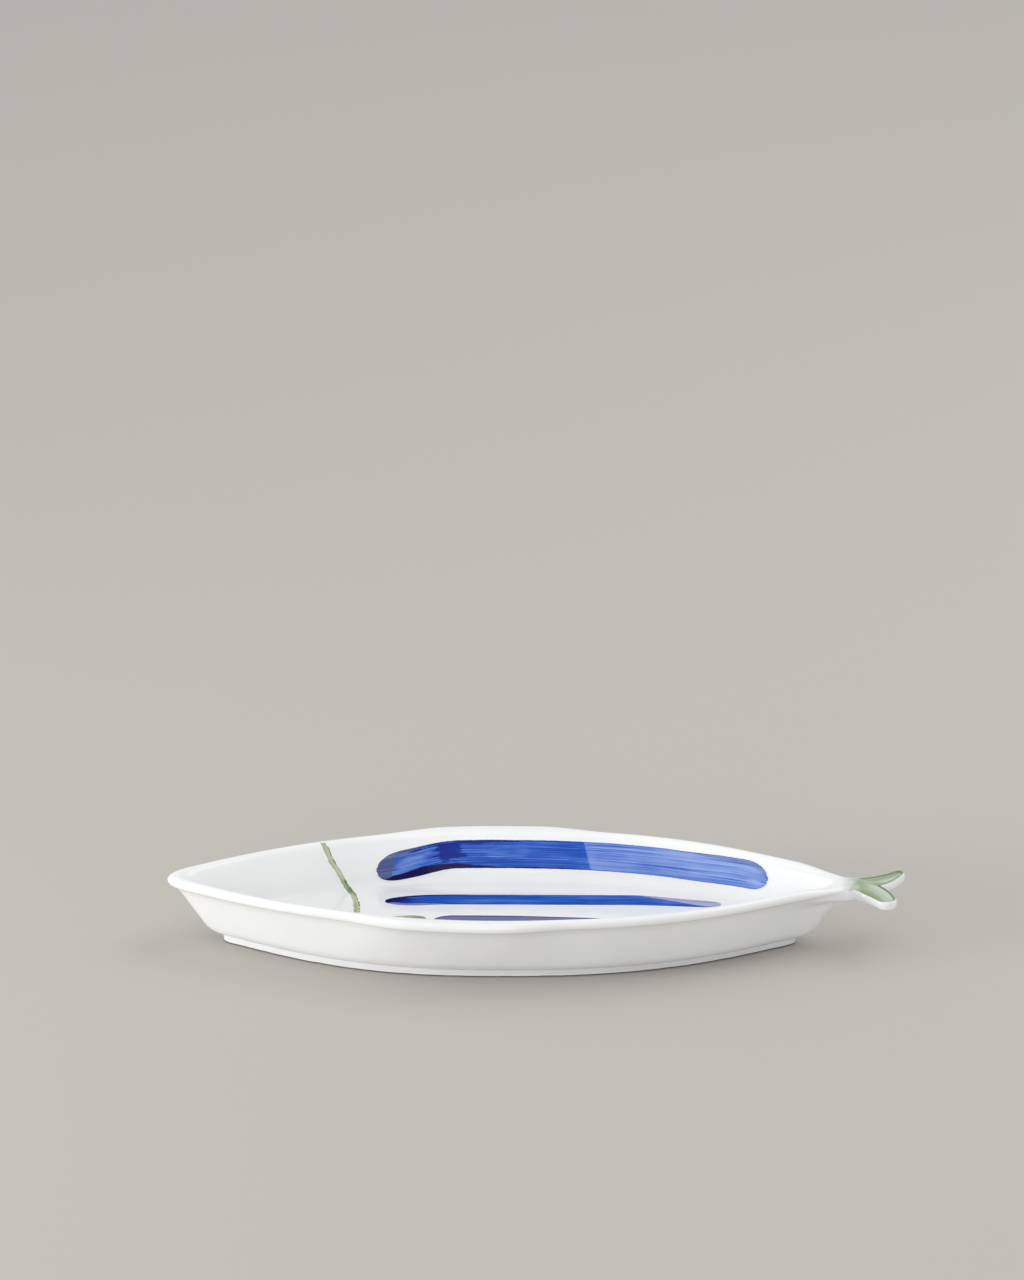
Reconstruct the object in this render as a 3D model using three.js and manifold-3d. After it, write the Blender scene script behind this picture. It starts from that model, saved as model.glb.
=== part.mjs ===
// Fish-shaped porcelain serving dish. Millimetres, +Z up, nose at -X, tail at +X, back of the fish at +Y.
import * as THREE from "three";
import { mergeVertices, toCreasedNormals } from "three/addons/utils/BufferGeometryUtils.js";
import Module from "manifold-3d";

// Plan of the rim, at its outermost line
const RIM_HALF_WIDTH = 61;
const NOSE_X = -175.3;
const STERN_X = 150;
const WIDEST_X = -21;
// How far each end of an outline draws back for every millimetre that the outline moves in
const NOSE_DRAW = 1.66;
const STERN_DRAW = 1.53;
// The outline is blunt at the rim and pointed from this inset on
const POINTED_INSET = 16.4;
const NOSE_FULLNESS = { blunt: 1.8, pointed: 2.32 };
const NOSE_BLUNTNESS = 0.8;
const STERN_FULLNESS = 2.5;
// Both ends are rounded off by a swell: how much wider they get, and how far from the tip that is
const END_SWELL = { most: 2.5, reach: 3 };

// Heights. The rim stands a little higher amidships than at the nose and the tail.
const RIM_HEIGHT = 33.6;
const RIM_CROWN = 0.8;
const CROWN_MIDDLE_X = -15;
const CROWN_REACH = 160;
const FLOOR_Z = 12;
const UNDERSIDE_Z = 4.5;
const RECESS_Z = 6.5;

// Outer wall, as insets from the rim's outermost line
const CORNER_INSET = 15.6;
const CORNER_PULL_INSET = 12.2;
const WALL_FOOT_INSET = 9.9;
const WALL_FOOT_Z = 10.2;

// Rolled bead round the rim: [inset, height over the bead's underside]
const BEAD_THICKNESS = 4.4;
const BEAD = {
  crease: [2.7, -1.6],
  creasePull: [2.2, -0.4],
  lip: [1.1, 0.1],
  lipPull: [-0.5, 0.7],
};
const CREST = { outerPull: -0.6, inset: 2.4, innerPull: 4.4 };

// Inside of the dish
const RIM_WIDTH = 6;
const EDGE_DROP = 2.5;
const EDGE_PULL = { inset: 0.6, drop: 1.2 };
const INNER_WALL_FOOT = { inset: 12.5, z: 16.1 };
const COVE_CORNER_INSET = 14.4;
const FLOOR_INSET = 18.9;

// Foot ring
const FOOT_INSET = 16.4;
const FOOT_WIDTH = 5.2;
const FOOT_DRAFT = 0.2;
const FOOT_EDGE = 0.8;
const FOOT_SHIFT_X = -1.2;
const RECESS_INSET = 24;
const RECESS_DRAFT = 0.8;

// Fins: gentle outward flares of the rim, the back fin further aft than the belly fin
const BACK_FIN = { height: 4.4, start: -80, full: -44, fade: 2, end: 36 };
const BELLY_FIN = { height: 4, start: -96, full: -60, fade: -16, end: 18 };
const FIN_LOWEST_Z = 14;
const FIN_CREST_MARGIN = 0.6;

// Neck between the dish and the tail: a rounded section on the joint plane
const NECK_X = 147;
const NECK_HALF_WIDTH = 8.3;
const NECK_HALF_HEIGHT = 4.4;
const NECK_DROP = 1.8;
const NECK_TOP_Z = RIM_HEIGHT - NECK_DROP;
const NECK_FILLET = 14;
// The wall under the bead turns into the neck more tightly than the rim does
const WALL_FILLET = 6;
const FILLET_START_X = 95;
const FILLET_FULL_X = 138;
const NECK_START_X = 123;
// The wall joins the neck from this far under the rim. It begins to turn into it a little lower, and to
// widen towards it lower still.
const NECK_DEPTH = 11;
const NECK_LEAD_IN = 4.6;
const NECK_WIDENING = 9;
const NECK_TURN = 80;
const NECK_SQUARENESS = 0.6;

// Tail lobes, drooping a little towards their tips, each with a shallow tray in its top.
// Their bend and tips are measured from the joint plane.
const LOBE_BEND = 12;
const BACK_LOBE = { tip: [25.8, 17], tipHalfWidth: 3 };
const BELLY_LOBE = { tip: [18, -16], tipHalfWidth: 5.2 };
const WAIST_FADE = 4;
const LOBE_DROOP = 1.8;
const LOBE_TIP_HALF_HEIGHT = 2.8;
const TIP_ROUNDING = 0.6;
const TRAY_DEPTH = 1;
const TRAY_EDGE = 1.1;
const TRAY_START = 0.3;
const TRAY_RAMP = { from: 0.2, to: 0.45 };

// Brushed colours. A stroke's middle is an inset on the wall and a distance from the centre line on the
// floor. Its head and tail ends shift that middle and swell the half width between two places.
const COLOUR_THICKNESS = 0.35;
const COLOUR_CLEARANCE = 0.3;
const BACK_STRIPE = {
  startX: -77.5,
  endX: 110.5,
  startTaper: 12,
  endTaper: 9,
  middle: 9.1,
  half: 2.65,
  head: { from: -76, to: -38, shift: 2.1, swell: 0.4 },
  tail: { from: 70, to: 110, shift: -0.5, swell: 0 },
};
const MIDDLE_STRIPE = {
  startX: -73,
  endX: 88.5,
  startTaper: 26,
  endTaper: 14,
  middle: 23.4,
  half: 6.4,
  head: { from: -73, to: -46, shift: -0.9, swell: 0 },
  tail: { from: 44, to: 89, shift: -5, swell: -2.4 },
};
const LOWER_STRIPE = {
  startX: -49,
  endX: 68,
  startTaper: 14,
  endTaper: 30,
  middle: -2.2,
  half: 6.2,
  tail: { from: -24, to: 62, shift: -4.2, swell: 0 },
};
const FIN_DAB = { startX: -72.5, endX: -52.5, startTaper: 9, endTaper: 7, middle: -2, half: 4 };
// The gill line as [x, inset] from the rim's crest down the wall and over the floor
const GILL_KNOTS = [[-103.9, 3.2], [-99.7, 7.9], [-92.9, 12.8], [-88.6, 19.5], [-86.3, 29], [-85.9, 46]];
const GILL_HALF_WIDTH = 1.4;
const GILL_TAPER = 0.06;

// Facets
const RING_POINTS = 92;
const RING_EVENNESS = 0.2;
const SHELL_PIECES = [1, 1, 5, 8, 2, 6, 4, 3, 5];
const CREST_CURVE = 6;
const FOOT_PIECES = [1, 3, 1, 3, 1];
const NECK_POINTS = 24;
const LOBE_RINGS = 10;
const TIP_RINGS = 4;
const TIP_TURN = 80;
const TRAY_RINGS = 8;
const TRAY_TIP = [0.35, 0.7, 1];
const TRAY_BLUNTNESS = 0.1;
const INSIDE_POINTS = 24;
const NORMAL_STEP = 0.1;
const LEAST_END_SHARE = 0.01;
const LEAST_AREA = 1e-7;
const MERGE_DISTANCE = 1e-4;
// Pieces of each film along and across its stroke
const BACK_FILM = [40, 5];
const MIDDLE_FILM = [32, 1];
const LOWER_FILM = [28, 1];
const DAB_FILM = [14, 1];
const GILL_FILM = [36, 2];
const CREASE_ANGLE = Math.PI / 5;

const GLAZE = material(0xf5f4f0, 0.12);
const BARE_CLAY = material(0xe6e0d4, 0.75);
const BLUE = material(0x2c49b0, 0.18);
const GREEN = material(0x8a9c74, 0.18);

const wasm = await Module();
wasm.setup();

function material(color, roughness) {
  return new THREE.MeshStandardMaterial({ color, roughness, metalness: 0 });
}

const { clamp, lerp, smoothstep, degToRad } = THREE.MathUtils;

// Half width of the dish at x, for the outline that lies inset millimetres inside the rim.
// Past the stern it goes on below zero, which the neck's fillet uses.
function halfWidth(x, inset) {
  const noseX = NOSE_X + NOSE_DRAW * inset;
  const sternX = STERN_X - STERN_DRAW * inset;
  const widest = RIM_HALF_WIDTH - inset;
  const pointed = clamp(inset / POINTED_INSET, 0, 1);
  if (x < WIDEST_X) {
    const u = clamp((WIDEST_X - x) / (WIDEST_X - noseX), 0, 1);
    const fullness = lerp(NOSE_FULLNESS.blunt, NOSE_FULLNESS.pointed, pointed);
    return widest * (1 - u ** fullness) ** lerp(NOSE_BLUNTNESS, 1, pointed);
  }
  const u = (x - WIDEST_X) / (sternX - WIDEST_X);
  return widest * (1 - u ** STERN_FULLNESS);
}

// Rounds off an end of the outline, a given distance from its tip
function endSwell(distance, inset) {
  const t = Math.max(0, distance) / END_SWELL.reach;
  return END_SWELL.most * (1 - inset / RIM_HALF_WIDTH) * Math.sqrt(t) * Math.exp((1 - t) / 2);
}

function finFlare(x, side) {
  const fin = side > 0 ? BACK_FIN : BELLY_FIN;
  return fin.height * smoothstep(x, fin.start, fin.full) * (1 - smoothstep(x, fin.fade, fin.end));
}

function crown(x, z) {
  const along = Math.max(0, 1 - ((x - CROWN_MIDDLE_X) / CROWN_REACH) ** 2);
  return RIM_CROWN * along * clamp((z - FLOOR_Z) / (RIM_HEIGHT - FLOOR_Z), 0, 1);
}

// Rounded maximum of two half widths, with a fillet where they cross
function blend(a, b, fillet) {
  return (a + b + Math.hypot(a - b, fillet)) / 2;
}

// Section of the shell from the recess edge out, up the wall, over the rim and down to the floor.
// Its x is the inset from the rim's outermost line and its y the height.
function shellSection() {
  const underBead = ([inset, rise]) => [inset, RIM_HEIGHT - BEAD_THICKNESS + rise];
  const edgeZ = RIM_HEIGHT - EDGE_DROP;
  const edgePull = [RIM_WIDTH - EDGE_PULL.inset, RIM_HEIGHT - EDGE_PULL.drop];
  const path = new THREE.Path();
  path.moveTo(RECESS_INSET + RECESS_DRAFT, RECESS_Z);
  path.lineTo(RECESS_INSET, UNDERSIDE_Z);
  path.lineTo(CORNER_INSET, UNDERSIDE_Z);
  path.quadraticCurveTo(CORNER_PULL_INSET, UNDERSIDE_Z, WALL_FOOT_INSET, WALL_FOOT_Z);
  path.lineTo(...underBead(BEAD.crease));
  path.quadraticCurveTo(...underBead(BEAD.creasePull), ...underBead(BEAD.lip));
  path.bezierCurveTo(...underBead(BEAD.lipPull), CREST.outerPull, RIM_HEIGHT, CREST.inset, RIM_HEIGHT);
  path.bezierCurveTo(CREST.innerPull, RIM_HEIGHT, ...edgePull, RIM_WIDTH, edgeZ);
  path.lineTo(INNER_WALL_FOOT.inset, INNER_WALL_FOOT.z);
  path.quadraticCurveTo(COVE_CORNER_INSET, FLOOR_Z, FLOOR_INSET, FLOOR_Z);
  return path;
}

// Stations of the section, each with its share of the fin flare and, near the top, its place round the neck
function shellStations() {
  const beadZ = RIM_HEIGHT - BEAD_THICKNESS;
  const stations = [{ inset: RECESS_INSET + RECESS_DRAFT, z: RECESS_Z, flare: 0 }];
  shellSection().curves.forEach((curve, index) => {
    for (let k = 1; k <= SHELL_PIECES[index]; k++) {
      const { x: inset, y: z } = curve.getPoint(k / SHELL_PIECES[index]);
      const outside = smoothstep(z, FIN_LOWEST_Z, beadZ);
      const inside = 1 - smoothstep(inset, FIN_CREST_MARGIN, RIM_WIDTH - FIN_CREST_MARGIN);
      stations.push({ inset, z, flare: index < CREST_CURVE ? outside : inside });
    }
  });
  const inner = stations.findIndex((s) => s.inset >= RIM_WIDTH && s.z > beadZ);
  const outer = stations.slice(0, inner);
  const neckZ = RIM_HEIGHT - NECK_DEPTH;
  const creaseZ = beadZ + BEAD.crease[1];
  const bead = outer.filter((s) => s.z > creaseZ);
  outer.forEach((s) => {
    const underBead = clamp((s.z - neckZ) / (creaseZ - neckZ), 0, 1) - 1;
    const overBead = (bead.indexOf(s) + 1) / bead.length;
    s.neckAngle = degToRad(NECK_TURN * (overBead > 0 ? overBead : underBead));
    s.joins = smoothstep(s.z, neckZ - NECK_LEAD_IN, neckZ);
    s.widens = smoothstep(s.z, neckZ - NECK_WIDENING, neckZ);
    s.fillet = lerp(WALL_FILLET, NECK_FILLET, smoothstep(s.z, neckZ, beadZ));
  });
  return stations;
}

function squared(value) {
  return Math.sign(value) * Math.abs(value) ** NECK_SQUARENESS;
}

// Half width of a ring that joins the neck: filleted, so that it has the neck's own width on the joint plane
function neckedWidth(x, inset, half, neckHalf, fillet) {
  if (x < FILLET_START_X) return half;
  const neckLine = neckHalf - fillet ** 2 / (4 * (neckHalf - halfWidth(NECK_X, inset)));
  return blend(half, neckLine, fillet * smoothstep(x, FILLET_START_X, FILLET_FULL_X));
}

// One closed ring of the shell: from the stern along the back to the nose and home along the belly.
// Joins is 1 for a ring that runs into the neck, 0 for one that ends at the stern. Widens is the share of
// the neck's width that it takes on.
function shellRing(station) {
  const { inset, z, flare = 0, shiftX = 0 } = station;
  const { joins = 0, widens = 0, neckAngle = 0, fillet = NECK_FILLET } = station;
  const noseX = NOSE_X + NOSE_DRAW * inset;
  const sternX = STERN_X - STERN_DRAW * inset;
  const endX = lerp(sternX, NECK_X, joins);
  const neckHalf = NECK_HALF_WIDTH * squared(Math.cos(neckAngle));
  const neckZ = lerp(z, NECK_TOP_Z + NECK_HALF_HEIGHT * (squared(Math.sin(neckAngle)) - 1), joins);
  const points = [];
  for (let k = 0; k <= RING_POINTS; k++) {
    const turn = k / RING_POINTS;
    const side = turn <= 0.5 ? 1 : -1;
    const t = Math.abs(1 - 2 * turn);
    const x = lerp(noseX, endX, lerp(0.5 - 0.5 * Math.cos(Math.PI * t), t, RING_EVENNESS));
    const plain = halfWidth(x, inset) + flare * finFlare(x, side) + endSwell(x - noseX, inset);
    const ending = Math.max(0, plain) + endSwell(sternX - x, inset);
    const half = lerp(ending, neckedWidth(x, inset, plain, neckHalf, fillet), widens);
    const height = lerp(z + crown(x, z), neckZ, joins ? smoothstep(x, NECK_START_X, NECK_X) : 0);
    points.push(new THREE.Vector3(x + shiftX, side * half, height));
  }
  return points;
}

// Closed solid from a row of rings: walls between neighbours and a flat face, or a join, at the ends
function loft(rings, { closed = false, flatEnds = false } = {}) {
  const corners = [];
  const face = (a, b, c) => {
    const area = new THREE.Triangle(a, b, c).getArea();
    if (area > LEAST_AREA) corners.push(a, b, c);
  };
  const last = closed ? rings.length : rings.length - 1;
  for (let i = 0; i < last; i++) {
    const a = rings[i];
    const b = rings[(i + 1) % rings.length];
    for (let j = 0; j < a.length; j++) {
      const next = (j + 1) % a.length;
      face(a[j], a[next], b[next]);
      face(a[j], b[next], b[j]);
    }
  }
  if (flatEnds) {
    [rings[0], rings.at(-1)].forEach((ring, end) => {
      const plan = ring.map((p) => new THREE.Vector2(p.x, p.y));
      if (plan[0].distanceTo(plan.at(-1)) < MERGE_DISTANCE) plan.pop();
      THREE.ShapeUtils.triangulateShape(plan, []).forEach(([i, j, k]) => {
        if (end) face(ring[i], ring[j], ring[k]);
        else face(ring[k], ring[j], ring[i]);
      });
    });
  }
  return solid(new THREE.BufferGeometry().setFromPoints(corners));
}

// Loft whose two end rings are closed by a fan about their middle
function loftBetween(rings) {
  const middle = (ring) => ring.reduce((sum, p) => sum.add(p), new THREE.Vector3()).divideScalar(ring.length);
  const fan = (ring) => ring.map(() => middle(ring));
  return loft([fan(rings[0]), ...rings, fan(rings.at(-1))]);
}

function solid(geometry) {
  const merged = mergeVertices(geometry, MERGE_DISTANCE);
  const vertProperties = new Float32Array(merged.attributes.position.array);
  const triVerts = new Uint32Array(merged.index.array);
  const made = new wasm.Manifold(new wasm.Mesh({ numProp: 3, vertProperties, triVerts }));
  if (made.volume() > 0) return made;
  for (let i = 0; i < triVerts.length; i += 3) {
    [triVerts[i + 1], triVerts[i + 2]] = [triVerts[i + 2], triVerts[i + 1]];
  }
  return new wasm.Manifold(new wasm.Mesh({ numProp: 3, vertProperties, triVerts }));
}

function dishBody() {
  return loft(shellStations().map(shellRing), { flatEnds: true });
}

function footRing() {
  const outer = FOOT_INSET + FOOT_DRAFT;
  const inner = FOOT_INSET + FOOT_WIDTH - FOOT_DRAFT;
  const path = new THREE.Path();
  path.moveTo(FOOT_INSET, UNDERSIDE_Z);
  path.lineTo(outer, FOOT_EDGE);
  path.quadraticCurveTo(outer, 0, outer + FOOT_EDGE, 0);
  path.lineTo(inner - FOOT_EDGE, 0);
  path.quadraticCurveTo(inner, 0, inner, FOOT_EDGE);
  path.lineTo(FOOT_INSET + FOOT_WIDTH, UNDERSIDE_Z);
  const profile = path.curves.flatMap((curve, i) => curve.getPoints(FOOT_PIECES[i]).slice(i ? 1 : 0));
  const ring = ({ x: inset, y: z }) => shellRing({ inset, z, shiftX: FOOT_SHIFT_X });
  return loft(profile.map(ring), { closed: true });
}

// How fast the dish narrows where it meets the joint plane
function waistSlope() {
  const x = NECK_X - 1;
  return neckedWidth(x, 0, halfWidth(x, 0), NECK_HALF_WIDTH, NECK_FILLET) - NECK_HALF_WIDTH;
}

// Centre line of a lobe in plan, its heading, half width and top height at t from root to tip.
// The half width goes on with the dish's slope at the joint plane, so the waist is smooth.
function lobeAt(lobe, t) {
  const root = new THREE.Vector2(NECK_X, 0);
  const bend = new THREE.Vector2(NECK_X + LOBE_BEND, 0);
  const tip = new THREE.Vector2(NECK_X + lobe.tip[0], lobe.tip[1]);
  const early = root.clone().lerp(bend, t);
  const late = bend.clone().lerp(tip, t);
  const waist = 2 * LOBE_BEND * waistSlope() * t * (1 - t) ** WAIST_FADE;
  return {
    centre: early.clone().lerp(late, t),
    heading: late.sub(early).normalize(),
    half: lerp(NECK_HALF_WIDTH, lobe.tipHalfWidth, t ** 2) - waist,
    top: NECK_TOP_Z - LOBE_DROOP * smoothstep(t, 0, 1),
  };
}

// Point of a lobe: across its centre line by side millimetres, past its tip by ahead, at height z
function lobePoint({ centre, heading }, side, ahead, z) {
  const x = centre.x + heading.x * ahead - heading.y * side;
  return new THREE.Vector3(x, centre.y + heading.y * ahead + heading.x * side, z);
}

function lobeBody(lobe) {
  const ring = (t, scale, ahead) => {
    const at = lobeAt(lobe, t);
    const halfHeight = lerp(NECK_HALF_HEIGHT, LOBE_TIP_HALF_HEIGHT, t);
    return Array.from({ length: NECK_POINTS }, (_, k) => {
      const angle = (2 * Math.PI * k) / NECK_POINTS;
      const across = at.half * scale * squared(Math.cos(angle));
      const up = halfHeight * lerp(TIP_ROUNDING, 1, scale) * squared(Math.sin(angle));
      return lobePoint(at, across, ahead, at.top - halfHeight + up);
    });
  };
  const rings = [];
  for (let k = 0; k <= LOBE_RINGS; k++) rings.push(ring(k / LOBE_RINGS, 1, 0));
  for (let k = 1; k <= TIP_RINGS; k++) {
    const turn = degToRad((k / TIP_RINGS) * TIP_TURN);
    rings.push(ring(1, Math.cos(turn), lobe.tipHalfWidth * Math.sin(turn)));
  }
  return loftBetween(rings);
}

// Slab that follows a lobe's tray, between two heights over the tray's floor and inset from its edge
function traySlab(lobe, inset, bottom, top) {
  const ring = (t, scale, ahead) => {
    const at = lobeAt(lobe, t);
    const depth = TRAY_DEPTH * smoothstep(t, TRAY_RAMP.from, TRAY_RAMP.to);
    const half = Math.max(COLOUR_THICKNESS, at.half - TRAY_EDGE - inset) * scale;
    const corner = (side, height) => lobePoint(at, side * half, ahead, at.top - depth + height);
    return [corner(1, bottom), corner(1, top), corner(-1, top), corner(-1, bottom)];
  };
  const rings = [];
  for (let k = 0; k <= TRAY_RINGS; k++) rings.push(ring(lerp(TRAY_START, 1, k / TRAY_RINGS), 1, 0));
  const reach = lobe.tipHalfWidth - TRAY_EDGE - inset;
  const tipRing = (s) => ring(1, Math.sqrt(1 + TRAY_BLUNTNESS - s * s), reach * s);
  if (reach > 0) rings.push(...TRAY_TIP.map(tipRing));
  return loftBetween(rings);
}

function tailFin() {
  const lobes = lobeBody(BACK_LOBE).add(lobeBody(BELLY_LOBE));
  const above = 2 * TRAY_DEPTH;
  return lobes.subtract(traySlab(BACK_LOBE, 0, 0, above)).subtract(traySlab(BELLY_LOBE, 0, 0, above));
}

function tailWash() {
  const top = COLOUR_CLEARANCE + COLOUR_THICKNESS;
  const film = (lobe) => traySlab(lobe, COLOUR_CLEARANCE, COLOUR_CLEARANCE, top);
  return film(BACK_LOBE).add(film(BELLY_LOBE));
}

const inside = shellSection().curves.slice(CREST_CURVE);
const insideLine = inside.flatMap((curve) => curve.getPoints(INSIDE_POINTS));

// Height of the inside of the dish at an inset: from the crest down the wall and over the floor
function innerHeight(inset) {
  const next = insideLine.findIndex((p) => p.x > inset);
  if (next < 0) return FLOOR_Z;
  const a = insideLine[next - 1];
  const b = insideLine[next];
  return lerp(a.y, b.y, (inset - a.x) / (b.x - a.x));
}

// Point over the inside of the back wall, lifted square to it
function overWall(x, inset, lift) {
  const step = NORMAL_STEP;
  const at = (u, v) => new THREE.Vector3(u, halfWidth(u, v), innerHeight(v) + crown(u, innerHeight(v)));
  const along = at(x + step, inset).sub(at(x - step, inset));
  const down = at(x, inset + step).sub(at(x, inset - step));
  const normal = down.cross(along).normalize();
  return at(x, inset).addScaledVector(normal, lift * Math.sign(normal.z));
}

function overFloor(x, y, lift) {
  return new THREE.Vector3(x, y, FLOOR_Z + lift);
}

// Round or pointed end of a brush stroke: its share of the full width, a given distance from the end
function strokeEnd(distance, reach) {
  return Math.sqrt(1 - (1 - clamp(distance / reach, LEAST_END_SHARE, 1)) ** 2);
}

// Thin film of colour along a brush stroke. place(t) gives the two ends of its width.
function colourFilm(surface, lowest, place, [along, across]) {
  const rings = [];
  for (let i = 0; i <= along; i++) {
    const [from, to] = place(i / along);
    const row = (lift) =>
      Array.from({ length: across + 1 }, (_, j) => {
        const s = j / across;
        return surface(lerp(from[0], to[0], s), lerp(from[1], to[1], s), lift);
      });
    rings.push([...row(lowest + COLOUR_THICKNESS), ...row(lowest).reverse()]);
  }
  return loftBetween(rings);
}

// A stroke that runs along the dish
function lengthwise({ startX, endX, startTaper, endTaper, middle, half, head, tail }) {
  return (t) => {
    const x = lerp(startX, endX, 0.5 - 0.5 * Math.cos(Math.PI * t));
    const atHead = head ? 1 - smoothstep(x, head.from, head.to) : 0;
    const atTail = tail ? smoothstep(x, tail.from, tail.to) : 0;
    const shift = (head ? head.shift * atHead : 0) + (tail ? tail.shift * atTail : 0);
    const swell = (head ? head.swell * atHead : 0) + (tail ? tail.swell * atTail : 0);
    const width = (half + swell) * strokeEnd(x - startX, startTaper) * strokeEnd(endX - x, endTaper);
    return [
      [x, middle + shift - width],
      [x, middle + shift + width],
    ];
  };
}

function backStripe() {
  return colourFilm(overWall, COLOUR_CLEARANCE, lengthwise(BACK_STRIPE), BACK_FILM);
}

function floorStroke(stroke, pieces) {
  return colourFilm(overFloor, 0, lengthwise(stroke), pieces);
}

// The gill line starts on the rim, runs down the wall and on over the floor
function gillLine() {
  const line = new THREE.SplineCurve(GILL_KNOTS.map(([x, inset]) => new THREE.Vector2(x, inset)));
  const place = (t) => {
    const { x, y: inset } = line.getPointAt(t);
    const width = GILL_HALF_WIDTH * strokeEnd(t, GILL_TAPER) * strokeEnd(1 - t, GILL_TAPER);
    return [
      [x - width, inset],
      [x + width, inset],
    ];
  };
  return colourFilm(overWall, COLOUR_CLEARANCE, place, GILL_FILM);
}

function mesh(name, made, finish) {
  const { vertProperties, triVerts } = made.getMesh();
  const geometry = new THREE.BufferGeometry();
  geometry.setAttribute("position", new THREE.BufferAttribute(new Float32Array(vertProperties), 3));
  geometry.setIndex(new THREE.BufferAttribute(new Uint32Array(triVerts), 1));
  const part = new THREE.Mesh(toCreasedNormals(geometry, CREASE_ANGLE), finish);
  part.name = name;
  return part;
}

const dish = new THREE.Group();
dish.add(
  mesh("dish_body", dishBody(), GLAZE),
  mesh("foot_ring", footRing(), BARE_CLAY),
  mesh("tail_fin", tailFin(), GLAZE),
  mesh("back_stripe", backStripe(), BLUE),
  mesh("middle_stripe", floorStroke(MIDDLE_STRIPE, MIDDLE_FILM), BLUE),
  mesh("lower_stripe", floorStroke(LOWER_STRIPE, LOWER_FILM), BLUE),
  mesh("gill_line", gillLine(), GREEN),
  mesh("fin_dab", floorStroke(FIN_DAB, DAB_FILM), GREEN),
  mesh("tail_wash", tailWash(), GREEN),
);

// The origin is under the middle of the whole dish, on the surface that it stands on
const middle = new THREE.Box3().setFromObject(dish).getCenter(new THREE.Vector3());
dish.position.set(-middle.x, -middle.y, 0);
const part = new THREE.Group();
part.add(dish);

export default part;
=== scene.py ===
"""Looks of a fish-shaped porcelain serving dish: a white glazed boat on a low foot, with a rolled rim,
a forked tail, brushed blue stripes along its back and a green gill line, dab and tail wash."""

import math
from contextlib import contextmanager

import bmesh
import bpy
import numpy as np
from mathutils import Matrix, Vector


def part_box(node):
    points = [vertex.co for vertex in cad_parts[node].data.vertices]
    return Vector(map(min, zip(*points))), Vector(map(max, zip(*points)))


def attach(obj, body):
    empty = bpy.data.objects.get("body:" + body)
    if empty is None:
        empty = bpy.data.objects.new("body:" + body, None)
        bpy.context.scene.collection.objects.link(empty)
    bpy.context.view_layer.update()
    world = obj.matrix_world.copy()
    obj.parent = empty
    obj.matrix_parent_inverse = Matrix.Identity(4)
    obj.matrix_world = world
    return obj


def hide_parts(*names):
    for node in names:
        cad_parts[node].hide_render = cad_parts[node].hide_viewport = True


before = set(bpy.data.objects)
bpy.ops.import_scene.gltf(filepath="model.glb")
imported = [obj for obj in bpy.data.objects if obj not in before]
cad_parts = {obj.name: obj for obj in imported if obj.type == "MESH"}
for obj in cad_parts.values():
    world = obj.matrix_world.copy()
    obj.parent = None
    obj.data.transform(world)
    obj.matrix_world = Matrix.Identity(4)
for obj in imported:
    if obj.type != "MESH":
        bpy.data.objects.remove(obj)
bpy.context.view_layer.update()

# Sizes are in millimetres in the maker's frame: nose at -X, tail at +X, back of the fish at +Y, floor at z 0.
MM = 0.001

# Plan of the dish: every level of it is this outline, drawn in by an inset
OUTLINE = {
    "Rim Half Width": 61.0,
    "Nose X": -175.3,
    "Stern X": 150.0,
    "Widest X": -21.0,
    "Nose Draw": 1.66,
    "Stern Draw": 1.53,
    "Pointed Inset": 16.4,
    "Blunt Nose Fullness": 1.8,
    "Pointed Nose Fullness": 2.32,
    "Nose Bluntness": 0.8,
    "Stern Fullness": 2.5,
    "End Swell": 2.5,
    "End Swell Reach": 3.0,
}

# What the loft adds to the outline: the crown of the rim, the two fins and the neck
NECK_X = 147.0
RIM_HEIGHT = 33.6
FLOOR_Z = 12.0
LOFT = {
    "Rim Height": RIM_HEIGHT,
    "Floor Height": FLOOR_Z,
    "Rim Crown": 0.8,
    "Crown Middle X": -15.0,
    "Crown Reach": 160.0,
    "Back Fin Height": 4.4,
    "Back Fin Start": -80.0,
    "Back Fin Full": -44.0,
    "Back Fin Fade": 2.0,
    "Back Fin End": 36.0,
    "Belly Fin Height": 4.0,
    "Belly Fin Start": -96.0,
    "Belly Fin Full": -60.0,
    "Belly Fin Fade": -16.0,
    "Belly Fin End": 18.0,
    "Neck X": NECK_X,
    "Neck Start X": 123.0,
    "Fillet Start X": 95.0,
    "Fillet Full X": 138.0,
    "Shift X": 0.0,
    "Ring Evenness": 0.05,
}
RING_POINTS = 256

# Slack that keeps a ring's point at the nose on the back's half
ROUND_OFF = 1e-4

# Points closer than a sliver become one, and edges that turn more than this stay sharp
SLIVER = 1e-3
SHARP_EDGE = math.radians(50)

# Section of the shell, with (inset, height) points. From the hollow on, the wall curves out under the bead.
# The glaze lies thick in the crease and in the cove; in the crease its darker tint is partly painted shade.
# At the stern, the bowl above the crease runs into the upper half of the neck, and the wall below it into
# the lower half.
UNDERSIDE_Z = 4.5
RECESS_Z = 6.5
RECESS_INSET = 24.0
RECESS_DRAFT = 0.8
CORNER_INSET = 15.6
CORNER_PULL_INSET = 12.2
WALL_FOOT = (9.9, 10.2)
BEAD_Z = RIM_HEIGHT - 4.4
CREASE = (2.7, BEAD_Z - 1.6)
HOLLOW = (3.7, BEAD_Z - 4.0)
HOLLOW_PULL = (2.62, BEAD_Z - 1.4)
LIP = (1.1, BEAD_Z + 0.1)
LIP_PULL = (-0.5, BEAD_Z + 0.7)
CREST_PULL = (-0.6, RIM_HEIGHT)
CREST = (2.4, RIM_HEIGHT)
EDGE_CREST_PULL = (4.4, RIM_HEIGHT)
EDGE_PULL = (5.4, RIM_HEIGHT - 1.2)
RIM_WIDTH = 6.0
EDGE = (RIM_WIDTH, RIM_HEIGHT - 2.5)
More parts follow.
